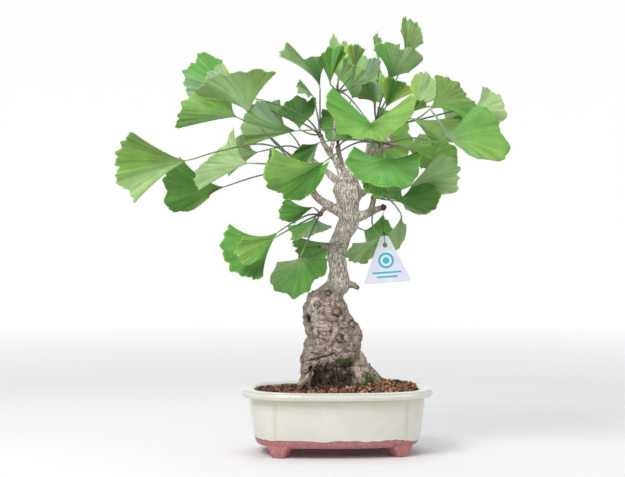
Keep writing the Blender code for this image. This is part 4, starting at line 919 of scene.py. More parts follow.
def glaze_finish():
    """Stoneware pot: glossy cream glaze over red clay, left bare at the foot.

    tone red says clay, tone green where the glaze pools, with painted shadow under the lip and painted shade
    in the creases, and tone blue for a grey-blue line of painted shade on each sharp edge of the lip.
    """
    made, tree, place = material("glazed_stoneware")
    tone = node(tree, "Attribute", attribute_name="tone")
    parts = node(tree, "SeparateColor", {0: tone})
    clay = parts.outputs["Red"]
    cloud = node(tree, "TexNoise", {"Vector": place, "Scale": 34.0, "Detail": 3.0})
    cream = node(tree, "ValToRGB", {0: cloud}, ((0.3, "D9D6CC"), (0.7, "E3E0D9")))
    # tone green: pooled glaze, with painted shadow under the lip and painted shade in the creases
    pool_and_shadow = node(tree, "Mix", {0: parts.outputs["Green"], 6: cream, 7: "BDBB85"}, data_type="RGBA")
    # Painted shade: a grey-blue line on the lip's sharp edges
    edge_shade = node(tree, "Mix", {0: parts.outputs["Blue"], 6: pool_and_shadow, 7: "A9B3B4"}, data_type="RGBA")
    speck = node(tree, "TexNoise", {"Vector": place, "Scale": 700.0, "Detail": 1.0})
    fleck = node(tree, "MapRange", {0: speck, 1: 0.24, 2: 0.29, 3: 0.62, 4: 1.0})
    glaze = node(tree, "VectorMath", {0: edge_shade, "Scale": fleck}, operation="SCALE")
    grit = node(tree, "TexNoise", {"Vector": place, "Scale": 260.0, "Detail": 7.0, "Roughness": 0.7})
    red = node(tree, "ValToRGB", {0: grit}, ((0.3, "97595A"), (0.7, "C58785")))
    # The glaze ends in a dark brown line: painted shadow along the glaze's edge over the clay
    glaze_edge_shadow = node(tree, "ValToRGB", {0: clay}, ((0.34, "FFFFFF"), (0.47, "86705C"), (0.62, "FFFFFF")))
    bare = node(tree, "MapRange", {0: clay, 1: 0.47, 2: 0.53, 3: 0.0, 4: 1.0})
    shade = node(tree, "Mix", {0: bare, 6: glaze, 7: red}, data_type="RGBA")
    shade = node(tree, "Mix", {0: 1.0, 6: shade, 7: glaze_edge_shadow}, data_type="RGBA", blend_type="MULTIPLY")
    dull = node(tree, "MapRange", {0: clay, 1: 0.47, 2: 0.53, 3: 0.14, 4: 0.72})
    ripple = node(tree, "TexNoise", {"Vector": place, "Scale": 80.0, "Detail": 2.0})
    grain = node(tree, "Math", {0: grit, 1: bare}, operation="MULTIPLY")
    height = node(tree, "Math", {0: grain, 1: 0.5, 2: ripple}, operation="MULTIPLY_ADD")
    relief = node(tree, "Bump", {"Height": height, "Strength": 0.35, "Distance": 0.0006})
    skin = node(tree, "BsdfPrincipled", {"Base Color": shade, "Roughness": dull, "Normal": relief})
    skin.inputs["IOR"].default_value = 1.5
    node(tree, "OutputMaterial", {"Surface": skin})
    return made


def soil_finish():
    """Baked clay granules and bark crumb: porous, red-brown to dark, matt."""
    grain = {"Scale": 900.0, "Detail": 5.0, "Roughness": 0.7}
    return grained("bonsai_soil", grain, 0.95, 0.0006, light=(0.3, 0.75, 0.6, 1.8))


def bed_finish():
    """The packed soil between the granules, nearly black: dark damp peat, with painted shade of the gaps
    between the granules.
    """
    grain = {"Scale": 620.0, "Detail": 6.0, "Roughness": 0.7}
    # Nearly black: painted shade in the gaps between the granules
    stops = ((0.3, "160D08"), (0.55, "301D14"), (0.75, "573522"))
    return grained("peat_and_gap_shade", grain, 0.95, 0.0015, stops=stops)


def moss_finish():
    """Moss: soft matt leaflets, each with its own green or brown."""
    return grained("moss", {"Scale": 700.0, "Detail": 4.0}, 0.9, light=(0.3, 0.7, 0.6, 1.2))


def screen_finish():
    """Drain mesh: moulded polyethylene, dark and slightly glossy."""
    return grained("drain_mesh", {"Scale": 340.0}, 0.5, stops=((0.3, "20241F"), (0.7, "31362F")))


def tag_finish():
    """Plant tag: a die-cut sheet of white polystyrene, printed in turquoise with a ring, a dot and bars."""
    made, tree, place = material("polystyrene_sheet")
    surface = node(tree, "UVMap", uv_map="surface").outputs["UV"]
    ways = node(tree, "SeparateXYZ", {0: surface})
    drop = node(tree, "Math", {0: ways.outputs["Y"], 1: TAG_RING_DROP}, operation="ADD")
    offset = node(tree, "CombineXYZ", {"X": ways.outputs["X"], "Y": drop})
    away = node(tree, "VectorMath", {0: offset}, operation="LENGTH")
    ring = node(tree, "Math", {0: away, 1: TAG_RING, 2: TAG_RING_WIDE}, operation="COMPARE")
    dot = node(tree, "Math", {0: away, 1: TAG_DOT}, operation="LESS_THAN")
    ink = node(tree, "Math", {0: ring, 1: dot}, operation="MAXIMUM")
    for bar_drop, half in TAG_BARS:
        low = node(tree, "Math", {0: ways.outputs["Y"], 1: -bar_drop, 2: TAG_BAR_WIDE}, operation="COMPARE")
        short = node(tree, "Math", {0: ways.outputs["X"], 1: 0.0, 2: half}, operation="COMPARE")
        line = node(tree, "Math", {0: low, 1: short}, operation="MULTIPLY")
        ink = node(tree, "Math", {0: ink, 1: line}, operation="MAXIMUM")
    cloud = node(tree, "TexNoise", {"Vector": place, "Scale": 50.0})
    white = node(tree, "ValToRGB", {0: cloud}, ((0.3, "D9DCEE"), (0.7, "E4E6F4")))
    shade = node(tree, "Mix", {0: ink, 6: white, 7: "2DB2C6"}, data_type="RGBA")
    skin = node(tree, "BsdfPrincipled", {"Base Color": shade})
    skin.inputs["Roughness"].default_value = 0.28
    skin.inputs["IOR"].default_value = 1.55
    node(tree, "OutputMaterial", {"Surface": skin})
    return made


def thread_finish():
    """Thread: dark twisted polyester; the strands wind round it as its UV map runs along."""
    made, tree, _ = material("polyester_thread")
    surface = node(tree, "UVMap", uv_map="surface").outputs["UV"]
    ways = node(tree, "SeparateXYZ", {0: surface})
    wind = {0: ways.outputs["Y"], 1: THREAD_TURNS, 2: ways.outputs["X"]}
    twist = node(tree, "Math", wind, operation="MULTIPLY_ADD")
    strand = node(tree, "Math", {0: twist, 1: 1.0}, operation="PINGPONG")
    shade = node(tree, "ValToRGB", {0: strand}, ((0.0, "17171D"), (1.0, "3A3A44")))
    skin = node(tree, "BsdfPrincipled", {"Base Color": shade})
    skin.inputs["Roughness"].default_value = 0.7
    node(tree, "OutputMaterial", {"Surface": skin})
    return made


def superellipse(angle, inset):
    """The pot's oval, inset from the rim, as x and y in mm from the pot's middle, over angles."""
    cosine, sine = np.cos(angle), np.sin(angle)
    power = 2 / POT_SQUARENESS
    x = (POT_LENGTH / 2 - inset) * np.sign(cosine) * np.abs(cosine) ** power
    y = (POT_WIDTH / 2 - inset) * np.sign(sine) * np.abs(sine) ** power
    return x, y


def pot_points(x, y, z):
    """Points measured from the middle of the pot's underside, in metres."""
    x, y, z = np.broadcast_arrays(x, y, z)
    return np.stack((x + POT_PLACE[0] - MIDDLE_X, y + POT_PLACE[1] - MIDDLE_Y, z), axis=-1) * MM


def even_angles(count):
    """Angles round the oval that give steps of about even length along it."""
    fine = np.linspace(0, 2 * math.pi, 4001)
    x, y = superellipse(fine, 0)
    length = np.append(0, np.cumsum(np.hypot(np.diff(x), np.diff(y))))
    return np.interp(np.linspace(0, length[-1], count, endpoint=False), length, fine)


def pot_wall():
    """The wall: a profile of height and inset carried round the oval, outside, over the lip and inside.

    Two upright creases on the front and the back dent the body by bell curves. The glaze stops in a line
    above the foot with two small waves, higher at the left than at the right. tone red is 0.5 on that
    line and rises below it by a quarter for each mm. tone green is the glaze that pools under the lip
    and in the creases, with painted shadow under the lip and painted shade in the creases, and tone blue
    is 1 on each sharp edge of the lip, a grey-blue line of painted shade, and fades round it.
    """
    outer, inner = smooth_path(OUTER_PROFILE, OUTER_ROWS), smooth_path(INNER_PROFILE, INNER_ROWS)
    height, inset = np.vstack((outer, inner[1:])).T[..., None]
    outside = np.arange(len(height))[:, None] < len(outer)
    x, y = superellipse(even_angles(POT_COLUMNS), inset)
    body = smooth_step(*CREASE_FOOT, height) * (1 - smooth_step(*CREASE_TOP, height)) * outside
    crease = np.exp(-(((np.abs(x) - CREASE_PLACE) / CREASE_WIDTH) ** 2)) * (np.abs(y) > CREASE_FRONT)
    y = y - np.sign(y) * CREASE_DEPTH * body * crease
    waves = 0.5 * np.sin(0.13 * x + 1) + 0.35 * np.sin(0.31 * x + y)
    line = GLAZE_END - GLAZE_DROP * smooth_step(*GLAZE_EASE, x) + waves
    clay = np.clip(0.5 + (line - height) / GLAZE_BLEND, 0, 1) * outside
    drop = np.maximum(POOL_HEIGHT - height, 0)
    # Painted shadow under the lip, a fade and a line, and painted shade in the creases, where glaze pools as
    # well
    lip_shadow_fade = 0.45 * np.exp(-drop / POOL_REACH) * (height < POOL_HEIGHT + 1)
    pool_and_shadow = lip_shadow_fade + 0.4 * np.exp(-(((height - POOL_HEIGHT) / LIP_SHADOW_LINE) ** 2)) + body * crease * 0.3
    away = [np.hypot(height - level, inset - deep) for level, deep in SHADED_LIP_EDGES]
    # Painted shade: a grey-blue line on each sharp edge of the lip
    edge_shade = np.exp(-((np.minimum.reduce(away) / EDGE_SHADE_WIDTH) ** 2)) * np.where(outside, EDGE_SHADE_OUTSIDE, 1)
    tone = np.stack(np.broadcast_arrays(clay, np.clip(pool_and_shadow, 0, 1) * outside, edge_shade), axis=-1)
    return closed(pot_points(x, y, height), tone)


def pot_foot(side, end):
    """A clay foot: a rounded rectangle that widens upwards in a hollow curve, turned to the oval."""
    turn = -side * end * FOOT_TURN
    level = np.linspace(0, FOOT_HEIGHT + FOOT_ROOT, FOOT_ROWS)[:, None]
    spread = np.minimum(level / FOOT_HEIGHT, 1) ** FOOT_CURVE
    edge = np.clip(1 - level / FOOT_EDGE, 0, 1) ** 2
    taper = FOOT_TAPER_INSET * np.clip(1 - level / FOOT_TAPER, 0, 1)
    half = FOOT_BOTTOM / 2 + (FOOT_TOP - FOOT_BOTTOM) / 2 * spread - FOOT_EDGE_INSETS[0] * edge
    thick = FOOT_THICK / 2 - taper - FOOT_EDGE_INSETS[1] * edge
    angle = np.linspace(0, 2 * math.pi, FOOT_COLUMNS, endpoint=False)
    cosine, sine = np.cos(angle), np.sin(angle)
    across = half * np.sign(cosine) * np.abs(cosine) ** FOOT_POWER
    away = thick * np.sign(sine) * np.abs(sine) ** FOOT_POWER
    x = side * FOOT_PLACE[0] + across * math.cos(turn) - away * math.sin(turn)
    y = end * FOOT_PLACE[1] + across * math.sin(turn) + away * math.cos(turn)
    return closed(pot_points(x, y, level), (1.0, 0, 0))


def build_pot():
    """The pot, with its two drain holes cut by bars that are taken out again."""
    feet = [pot_foot(side, end) for side in (-1, 1) for end in (-1, 1)]
    pot = piece("glazed_pot", [pot_wall()] + feet, [glaze_finish()])
    for side in (-1, 1):
        middle = pot_points(side * DRAIN_PLACE, 0, FLOOR_TOP)
        path = middle + np.array((0, 0, 1.0)) * np.linspace(-DRILL_REACH, DRILL_REACH, 4)[:, None] * MM
        drill = piece("drill", [bar(path, [DRAIN_ACROSS / 2] * 4, 40, tone=(1.0, 0, 0))], [])
        hole = pot.modifiers.new("Drain", "BOOLEAN")
        hole.operation = "DIFFERENCE"
        hole.object = drill
        hole.solver = "EXACT"
        mesh = as_built(pot)
        pot.modifiers.clear()
        pot.data = mesh
        bpy.data.objects.remove(drill)
    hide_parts("pot")


def trunk_section(height):
    """Middle x, half width, middle depth and half depth of the trunk at a height."""
    levels, left, right, depth, half_depth = np.array(TRUNK_RINGS).T
    level = max(height, levels[0])
    start, end, middle, half = (np.interp(level, levels, row) for row in (left, right, depth, half_depth))
    return (start + end) / 2, (end - start) / 2, middle, half


def trunk_ring(height, extra=0.0):
    """The trunk's outline at a height: an oval, lobed where the roots spread and grooved above.

    The lobes are waves round the outline that vanish at its left and right edges, and they fade with
    height. Each knot adds a rounded bump or hollow. extra moves the whole outline outwards.
    """
    middle, half_width, depth, half_depth = trunk_section(height)
    angle = np.linspace(0, 2 * math.pi, TRUNK_SIDES, endpoint=False)
    rooty = np.clip((LOBES_TOP - height) / LOBES_FADE, 0, 1)
    level = max(height, TRUNK_RINGS[0][0])
    turn = level / 30
    wave = 0.10 * np.sin(3 * angle + 0.4) + 0.06 * np.sin(5 * angle + 1.1)
    groove = 0.07 * np.sin(4 * angle + turn) + 0.04 * np.sin(7 * angle - 2 * turn)
    swell = 1 + np.sin(angle) ** 2 * (rooty * wave + (1 - rooty) * groove)
    x = middle + (half_width * swell + extra) * np.cos(angle)
    away = depth + (half_depth * swell + extra) * np.sin(angle)
    for knot_x, knot_z, knot_depth, spread, rise in KNOTS:
        distance = (x - knot_x) ** 2 + (level - knot_z) ** 2 + (away - knot_depth) ** 2
        knob = rise * np.exp(-distance / (2 * spread**2))
        x, away = x + knob * np.cos(angle), away + knob * np.sin(angle)
    up = np.full(TRUNK_SIDES, height + LAYOUT_Z)
    return turned(np.stack((x - LAYOUT_X, away, up), axis=-1))


def wood_core():
    """The trunk, its branches and its thick roots as skins that run into each other, before the bark."""
    levels = np.concatenate(([PLUG_BOTTOM], np.arange(PLUG_TOP, TRUNK_RINGS[-1][0] + 0.1, TRUNK_STEP)))
    shells = [closed(np.array([trunk_ring(level) for level in levels]), (1.0, 1.0, 1.0))]
    for places in BRANCHES.values():
        shells.append(bar(*limb(places, len(places) * 10), 20))
    for places in ROOTS:
        shells.append(bar(*limb(places, LIMB_STEPS, 1), 14))
    return shells


def eye_places(points):
    """x, z and depth in the view of points of the part, as spot() takes them."""
    x, y, z = (points / MM).T
    x, y = x + MIDDLE_X, y + MIDDLE_Y
    cosine, sine = math.cos(VIEW_TURN), math.sin(VIEW_TURN)
    across, depth = x * cosine - y * sine, x * sine + y * cosine
    grow = 1 + depth / EYE_DISTANCE
    return across / grow + LAYOUT_X, (z - EYE_HEIGHT) / grow + EYE_HEIGHT - LAYOUT_Z, depth


def slant(x, z, line):
    """How far z lies above a slanting line, given by a place on it and its slope."""
    start_x, start_z, slope = line
    return z - start_z - slope * (x - start_x)


def foot_hollow(place, x, z, depth):
    """How far each point lies in the hollow at the front of the foot, 0 to 1, with a ragged edge."""
    within = (depth < 0) * smooth_step(7, 14, x) * smooth_step(58, 50, x)
    ragged = slant(x, z, HOLLOW_LINE) + 5 * (lattice(place, 4, 10) - 0.5)
    return within * smooth_step(2, -3.5, ragged)


def bark_relief(points):
    """How far the bark stands out at each point, in mm, and how dark it lies, 0 to 1.

    Above the burl, winding furrows run up the trunk. The burl is lumpy and wrinkled, with scars that
    are rings in relief, a slanting crease over the foot, and a dark hollow below it. How dark it lies is
    painted shade in the furrows, the wrinkles, the scar rings, the crease, the pits and the hollow, with
    the bark's own darker furrows and the scars' dark middles.
    """
    place = points / MM
    x, z, depth = eye_places(points)
    burl = 1 - smooth_step(*BURL_TOP, z)
    drift = 3 * lattice(place, 14, 5)[:, None] * (1, 1, 0)
    net = ridges((place + drift) * (1, 1, 0.28), 2.9, 1) ** 5
    wrinkle = ridges(place * (1, 1, 1.7) + drift, 7, 3) ** 8
    upper = (lattice(place, 6, 8) - 0.5) * 1.2 - 0.6 * net
    lower = (lattice(place, 9, 6) - 0.5) * 4.2 + (lattice(place, 4, 7) - 0.5) * 2 - 1.1 * wrinkle
    rise = (1 - burl) * upper + burl * lower
    # Painted shade in the furrows above and in the burl's wrinkles, with the bark's own darker furrows
    dark = (1 - burl) * net * 0.4 + burl * wrinkle * 0.6
    front = depth < 0
    uneven = 0.5 * (lattice(place, 3, 15) - 0.5)
    for scar_x, scar_z, radius in SCARS:
        away = np.hypot(x - scar_x, z - scar_z) / radius + uneven
        ring = front * np.exp(-(away**2) / 2)
        wave = np.cos(away * SCAR_RINGS)
        rise += ring * SCAR_RISE * wave
        # Painted shade in the troughs of the scar rings; their middles are dark too
        dark += ring * (0.75 * smooth_step(0.1, -0.9, wave) + 0.6 * smooth_step(0.24, 0.1, away))
    within = smooth_step(6, 10, x) * smooth_step(38, 33, x)
    crease = front * within * np.exp(-((slant(x, z, CREASE_LINE) / CREASE_HALF) ** 2))
    pit = front * sum(np.exp(-(((x - a) / c) ** 2) - ((z - b) / d) ** 2) for a, b, c, d in PITS)
    hollow = foot_hollow(place, x, z, depth)
    rise -= FURROW_DEPTH * crease + PIT_DEPTH * pit + HOLLOW_DEPTH * hollow
    # Painted shade in the crease, the pits and the hollow
    dark += crease + 0.8 * pit + hollow * (0.45 + 0.7 * lattice(place, 2.4, 9))
    return rise, np.clip(dark, 0, 1)


def grown_wood():
    """The wood's core remeshed to one skin, with its points and the directions out of it."""
    core = piece("trunk_core", wood_core(), [])
    merge = core.modifiers.new("Grown", "REMESH")
    merge.mode = "VOXEL"
    merge.voxel_size = BARK_CELL * MM
    core.modifiers.new("Eased", "SMOOTH").iterations = 3
    mesh = as_built(core)
    bpy.data.objects.remove(core)
    points, normals = np.empty((2, len(mesh.vertices) * 3), dtype=np.float32)
    mesh.vertices.foreach_get("co", points)
    mesh.vertices.foreach_get("normal", normals)
    return mesh, points.reshape(-1, 3).astype(float), normals.reshape(-1, 3)


def limb_weights(points):
    """How far each point belongs to a branch or stub, and how far to the cut end of a stub, 0 to 1."""
    twig, cut = np.zeros((2, len(points)))
    for name, places in BRANCHES.items():
        path, radii = limb(places, LIMB_STEPS)
        away = np.linalg.norm(points[:, None] - path[None], axis=-1)
        near = away.argmin(axis=1)
        reach = away.min(axis=1) / (radii * MM)[near]
        on_it = smooth_step(*LIMB_FADE, reach) * smooth_step(*LIMB_START, near)
        twig = np.maximum(twig, on_it)
        if name.startswith("stub"):
            cut = np.maximum(cut, on_it * smooth_step(*CUT_START, near))
    return twig, cut


def build_trunk():
    """The trunk and branches grown together: one skin, with the bark's relief, its colours and the painted
    shade of its low places put on it.
    """
    mesh, points, normals = grown_wood()
    rise, dark = bark_relief(points)
    twig, cut = limb_weights(points)
    x, z, depth = eye_places(points)
    points += normals * (rise * (1 - twig * LIMB_SMOOTHNESS) - BARK_SHRINK)[:, None] * MM
    mesh.vertices.foreach_set("co", points.ravel())
    middle_x, middle_z, wide, tall = PALE_PATCH
    pale_patch = np.exp(-(((x - middle_x) / wide) ** 2) - ((z - middle_z) / tall) ** 2) * (depth < 0)
    tone = np.broadcast_to(linear(WOOD), points.shape)
    for shade, weight in (
        (TWIG_WOOD, twig * 0.8),
        (BURL_WOOD, (1 - smooth_step(*BURL_TONE_TOP, z)) * 0.9),
        (PALE_PATCH_WOOD, pale_patch),
        (CUT_WOOD, cut),
        # Painted shade in the bark's low places, with its own darker furrows
        (DARK_AND_SHADED_WOOD, dark),
    ):
        tone = tone + (linear(shade) - tone) * weight[:, None]
    paint(mesh, tone)
    mesh.polygons.foreach_set("use_smooth", [True] * len(mesh.polygons))
    mesh.materials.append(bark_finish())
    mesh.update()
    trunk = placed("bark_trunk", mesh)
    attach(trunk, "root")
    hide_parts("trunk")


def blade_margin(leaf):
    """The places of a leaf's margin, moved in depth so that the blade leans, with its base where it is.

    The depth grows by leaf.lean for each mm from the base along a way that turns with the base's place.
    """
    base_x, base_z, _ = leaf.base
    way = base_x + base_z
    right, rise = leaf.lean * math.cos(way), leaf.lean * math.sin(way)
    return spots([(x, z, y + right * (x - base_x) + rise * (z - base_z)) for x, z, y in leaf.margin])


def blade_points(leaf, across, ways):
    """A fan blade: rays from the leaf's base to its margin, which runs through the margin's places.

    ways says how far out each row lies, from 0 at the base to 1 at the margin. Near the base the rays
    lie closer to the middle ray, so that the two straight sides hollow in. The blade bows out along
    its middle, and ripples grow towards the margin with the square of the way out. The margin's reach
    swings by a few hundredths, and a cleft and small teeth pull it in. Pleats and folds are added.
    """
    base = spots([leaf.base])[0]
    margin = smooth_path(blade_margin(leaf), across + 1)
    u = np.linspace(0, 1, across + 1)[:, None]
    phase = leaf.base[0] + leaf.base[1]
    swing = sum(size * np.sin(rate * u + part * phase) for size, rate, part in MARGIN_WAVES)
    tooth = TOOTH_DEPTH * np.exp(-TOOTH_SHARPNESS * np.sin(23 * u + phase) ** 2)
    notch = leaf.cleft * np.exp(-(((u - 0.5) / CLEFT_WIDTH) ** 2))
    reach = (margin - base) * (1 + swing - tooth - notch)
    middle = reach.mean(axis=0)
    normal = unit(np.cross(reach[:-1], reach[1:]).sum(axis=0))
    v = np.asarray(ways, float)[:, None, None]
    flare = BLADE_NECK + (1 - BLADE_NECK) * v**0.8
    rays = middle + (reach - middle) * flare
    bow = leaf.bow * 4 * v * (1 - v)
    ripple = leaf.ripple * v**2 * np.sin(2 * math.pi * leaf.waves * u + phase)
    pleat = PLEATS[0] * v**1.5 * np.sin(2 * math.pi * PLEATS[1] * u + phase)
    fold = FOLDS[0] * v**6 * np.sin(2 * math.pi * FOLDS[1] * u)
    return base + rays * v + normal * (bow + ripple + pleat + fold) * MM


def grid_normals(grid):
    """The direction square to a grid's rows and columns at each point."""
    return unit(np.cross(np.gradient(grid, axis=1), np.gradient(grid, axis=0)))


def leaf_shells(leaf, root):
    """The blade and the stalk of a leaf.

    The blade is a sheet, thickest at the neck, where it takes up the stalk, and thin at the margin.
    Its tone runs from side to side and from the root outwards.
    """
    ways = np.linspace(0.02, 1, BLADE_ROWS) ** 0.85
    grid = blade_points(leaf, BLADE_COLUMNS, ways)
    out = grid_normals(grid)
    v = ways[:, None, None]
    half = (BLADE_THICK / 2 - MARGIN_THIN * v**4 + NECK_SWELL * np.exp(-v / 0.05)) * MM
    u = np.linspace(0, 1, BLADE_COLUMNS + 1)[:, None]
    first, middle, last, inner = (linear(TONES[name]) for name in leaf.tones.split())
    across = first + (middle - first) * smooth_step(0, 0.5, u) + (last - middle) * smooth_step(0.5, 1, u)
    near = (1 - smooth_step(0.05, 0.6, v)) * 0.7
    tone = across[None] + (inner - across[None]) * near
    uv = np.stack(np.meshgrid(u[:, 0], ways), axis=-1)
    faces = [np.clip(grid + out * half * side, *CAD_BOX) for side in (1, -1)]
    blade = sheet(*faces, uv, tone)
    base = spots([leaf.base])[0]
    neck = grid[:3].mean(axis=1)
    path = smooth_path(np.vstack((root, spots(leaf.stalk), base)), STALK_POINTS)
    path = np.vstack((path[:-1], neck[1:2]))
    radii = np.linspace(STALK_RADIUS * 1.15, STALK_RADIUS * 0.85, len(path))
    radii[-1] = STALK_RADIUS * 0.5
    return [blade, bar(path, radii, STALK_SIDES, slot=1)]


def build_sprays(finishes):
    """One piece for each tuft: its bud, its stalks and its blades."""
    for name, leaves in SPRAYS.items():
        before, tip = limb(BRANCHES[name], len(BRANCHES[name]) + 1)[0][-2:]
        direction = unit(tip - before)
        root = tip + direction * (GAP + BUD_HEIGHT * BUD_ROOT) * MM
        step = np.linspace(0, 1, BUD_ROWS)
        path = tip + direction * (GAP + BUD_HEIGHT * step[:, None]) * MM
        scales = 1 - BUD_TAPER * step**2 + BUD_RIPPLE * np.sin(step * 22)
        scales[-1] *= 0.4
        shells = [bar(path, BUD_RADIUS * 0.93 * scales, BUD_SIDES, slot=2)]
        for leaf in leaves:
            shells += leaf_shells(leaf, root)
        spray = piece(f"leaves_{name}", shells, finishes)
        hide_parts(f"spray_{name}")


def soil_height(points):
    """Height of the soil: a mound round the trunk, lower at its left than at its right, with soft uneven
    grain by summed waves.
    """
    middle, _, depth, _ = trunk_section(0)
    centre = turned((middle - LAYOUT_X, depth, 0))[:2] / MM
    x, y = (points[:, :2] / MM - centre).T
    near = np.exp(-((x / SOIL_MOUND_LENGTH) ** 2 + (y / SOIL_MOUND_WIDTH) ** 2) ** 1.4)
    grain = np.sin(0.31 * x + 1.7 * np.sin(0.23 * y)) + np.sin(0.41 * y - 1.3 * np.sin(0.19 * x))
    lean = SOIL_LEAN * np.tanh(x / SOIL_LEAN_WIDTH)
    return SOIL_EDGE + SOIL_MOUND * near + lean + SOIL_GRAIN * grain


def in_pot(points, inset):
    """True for each point that lies within the rim's oval, inset by so much."""
    x, y = (points[:, :2] / MM).T
    x, y = x - POT_PLACE[0] + MIDDLE_X, y - POT_PLACE[1] + MIDDLE_Y
    reach = np.abs(x / (POT_LENGTH / 2 - inset)) ** POT_SQUARENESS
    return reach + np.abs(y / (POT_WIDTH / 2 - inset)) ** POT_SQUARENESS < 1


def past_trunk(points):
    """How far each point lies outside the trunk's outline at the soil, in mm, along a ray from its middle."""
    ring = trunk_ring(72)[:, :2] / MM
    centre = ring.mean(axis=0)
    edge = ring - centre
    turn = np.arctan2(edge[:, 1], edge[:, 0])
    order = np.argsort(turn)
    away = points[:, :2] / MM - centre
    limit = np.interp(np.arctan2(away[:, 1], away[:, 0]), turn[order], np.hypot(*edge.T)[order],
                      period=2 * math.pi)
    return np.hypot(*away.T) - limit


def plane_turns(angles, first, second):
    """A turn by each angle from the first axis to the second, as matrices."""
    turns = np.tile(np.eye(3), (len(angles), 1, 1))
    turns[:, first, first] = turns[:, second, second] = np.cos(angles)
    turns[:, second, first] = np.sin(angles)
    turns[:, first, second] = -turns[:, second, first]
    return turns


def lumps(middles, sizes):
    """A rough little ball at each middle: rings of a sphere whose radius varies, stretched and turned."""
    count, rows, columns = len(middles), GRANULE_ROWS, GRANULE_COLUMNS
    tilt = np.linspace(0.28, math.pi - 0.28, rows)[:, None]
    angle = np.linspace(0, 2 * math.pi, columns, endpoint=False)
    ball = np.broadcast_arrays(np.sin(tilt) * np.cos(angle), np.sin(tilt) * np.sin(angle), np.cos(tilt))
    ball = np.stack(ball, axis=-1).reshape(-1, 3)
    each = len(ball)
    shape = ball * RANDOM.uniform(0.78, 1.22, (count, each, 1)) * RANDOM.uniform(0.7, 1.25, (count, 1, 3))
    a, b = RANDOM.uniform(0, 2 * math.pi, (2, count))
    shape = np.einsum("nij,njk,nmk->nmi", plane_turns(a, 0, 1), plane_turns(b, 1, 2), shape)
    points = middles[:, None] + shape * sizes[:, None, None] * MM
    starts = np.arange(count)[:, None, None] * each
    quads = grid_quads(rows, columns, ring=True)[None, :, ::-1] + starts
    cap = np.array([range(columns), range(each - 1, each - columns - 1, -1)])
    return points.reshape(-1, 3), quads.reshape(-1, 4), (cap + starts).reshape(-1, columns).tolist()


def granule_middles():
    """Places of the granules: one layer on a jittered grid over the soil, and loose ones on top.

    They lie between the pot's wall and the trunk, on the formula of the soil's height.
    """
    middles = []
    for step, keep, lift in GRANULE_LAYERS:
        x, y = np.meshgrid(np.arange(*GRANULE_FIELD[0], step), np.arange(*GRANULE_FIELD[1], step * 0.87))
        x = x + (np.arange(len(x)) % 2)[:, None] * step / 2
        flat = np.stack((x.ravel(), y.ravel(), np.zeros(x.size)), axis=-1)
        flat[:, :2] += RANDOM.uniform(-0.32, 0.32, (len(flat), 2)) * step
        flat = flat[RANDOM.random(len(flat)) < keep] * MM
        flat = flat[in_pot(flat, GRANULE_INSET) & (past_trunk(flat) > -1.5)]
        flat[:, 2] = (soil_height(flat) + lift + RANDOM.uniform(-0.5, 0.6, len(flat))) * MM
        middles.append(flat)
    return np.vstack(middles)


def build_granules():
    """Soil granules, 3 to 5 mm across, darker to the left of the trunk, and darker at its foot by painted
    shade.
    """
    middles = granule_middles()
    count = len(middles)
    share, larger = GRANULE_LARGE
    sizes = RANDOM.uniform(*GRANULE_RADII, count) * np.where(RANDOM.random(count) < share, larger, 1)
    points, quads, caps = lumps(middles, sizes)
    x, _, _ = eye_places(middles)
    shades, shares = zip(*GRANULE_KINDS)
    kinds = np.array([linear(shade) for shade in shades])
    # Darker towards the left, and darker at the trunk's foot: painted shade where the soil meets the trunk
    dark = smooth_step(20, -30, x) * 0.5 + smooth_step(10, 1, past_trunk(middles)) * 0.35
    pick = RANDOM.choice(len(kinds), count, p=shares)
    tone = kinds[pick] * (1 - np.clip(dark, 0, 0.7))[:, None] * RANDOM.uniform(0.75, 1.2, (count, 1))
    tone = np.repeat(tone, GRANULE_ROWS * GRANULE_COLUMNS, axis=0)
    shell = Shell(points, quads, caps, np.zeros((len(points), 2)), tone, 0)
    granules = piece("soil_granules", [shell], [soil_finish()])


def on_trunk(height, angle, lift):
    """Points on the trunk's outline at heights and angles, lifted off it in mm, and the way out there."""
    points, ways = [], []
    for level, turn in zip(height, angle):
        ring = trunk_ring(level, lift)
        place = int(round(turn / (2 * math.pi) * len(ring))) % len(ring)
        points.append(ring[place])
        ways.append(unit(ring[place] - ring.mean(axis=0)))
    return np.array(points), np.array(ways)


def spikes(places, ways, lengths, widths, tones):
    """A thin leaflet at each place: a four-cornered needle that points its way."""
    side = unit(np.cross(ways, RANDOM.normal(size=ways.shape)))
    over = np.cross(ways, side)
    width, length = widths[:, None] * MM, lengths[:, None] * MM
    corners = [places + side * width, places + over * width, places - side * width, places - over * width]
    tips = [corner * 0.1 + (places + ways * length) * 0.9 for corner in corners]
    points = np.stack(corners + tips, axis=1)
    quads = np.array(((0, 1, 5, 4), (1, 2, 6, 5), (2, 3, 7, 6), (3, 0, 4, 7), (3, 2, 1, 0), (4, 5, 6, 7)))
    quads = (quads[None] + np.arange(len(places))[:, None, None] * 8).reshape(-1, 4)
    points = points.reshape(-1, 3)
    return Shell(points, quads, [], np.zeros((len(points), 2)), np.repeat(tones, 8, axis=0), 0)


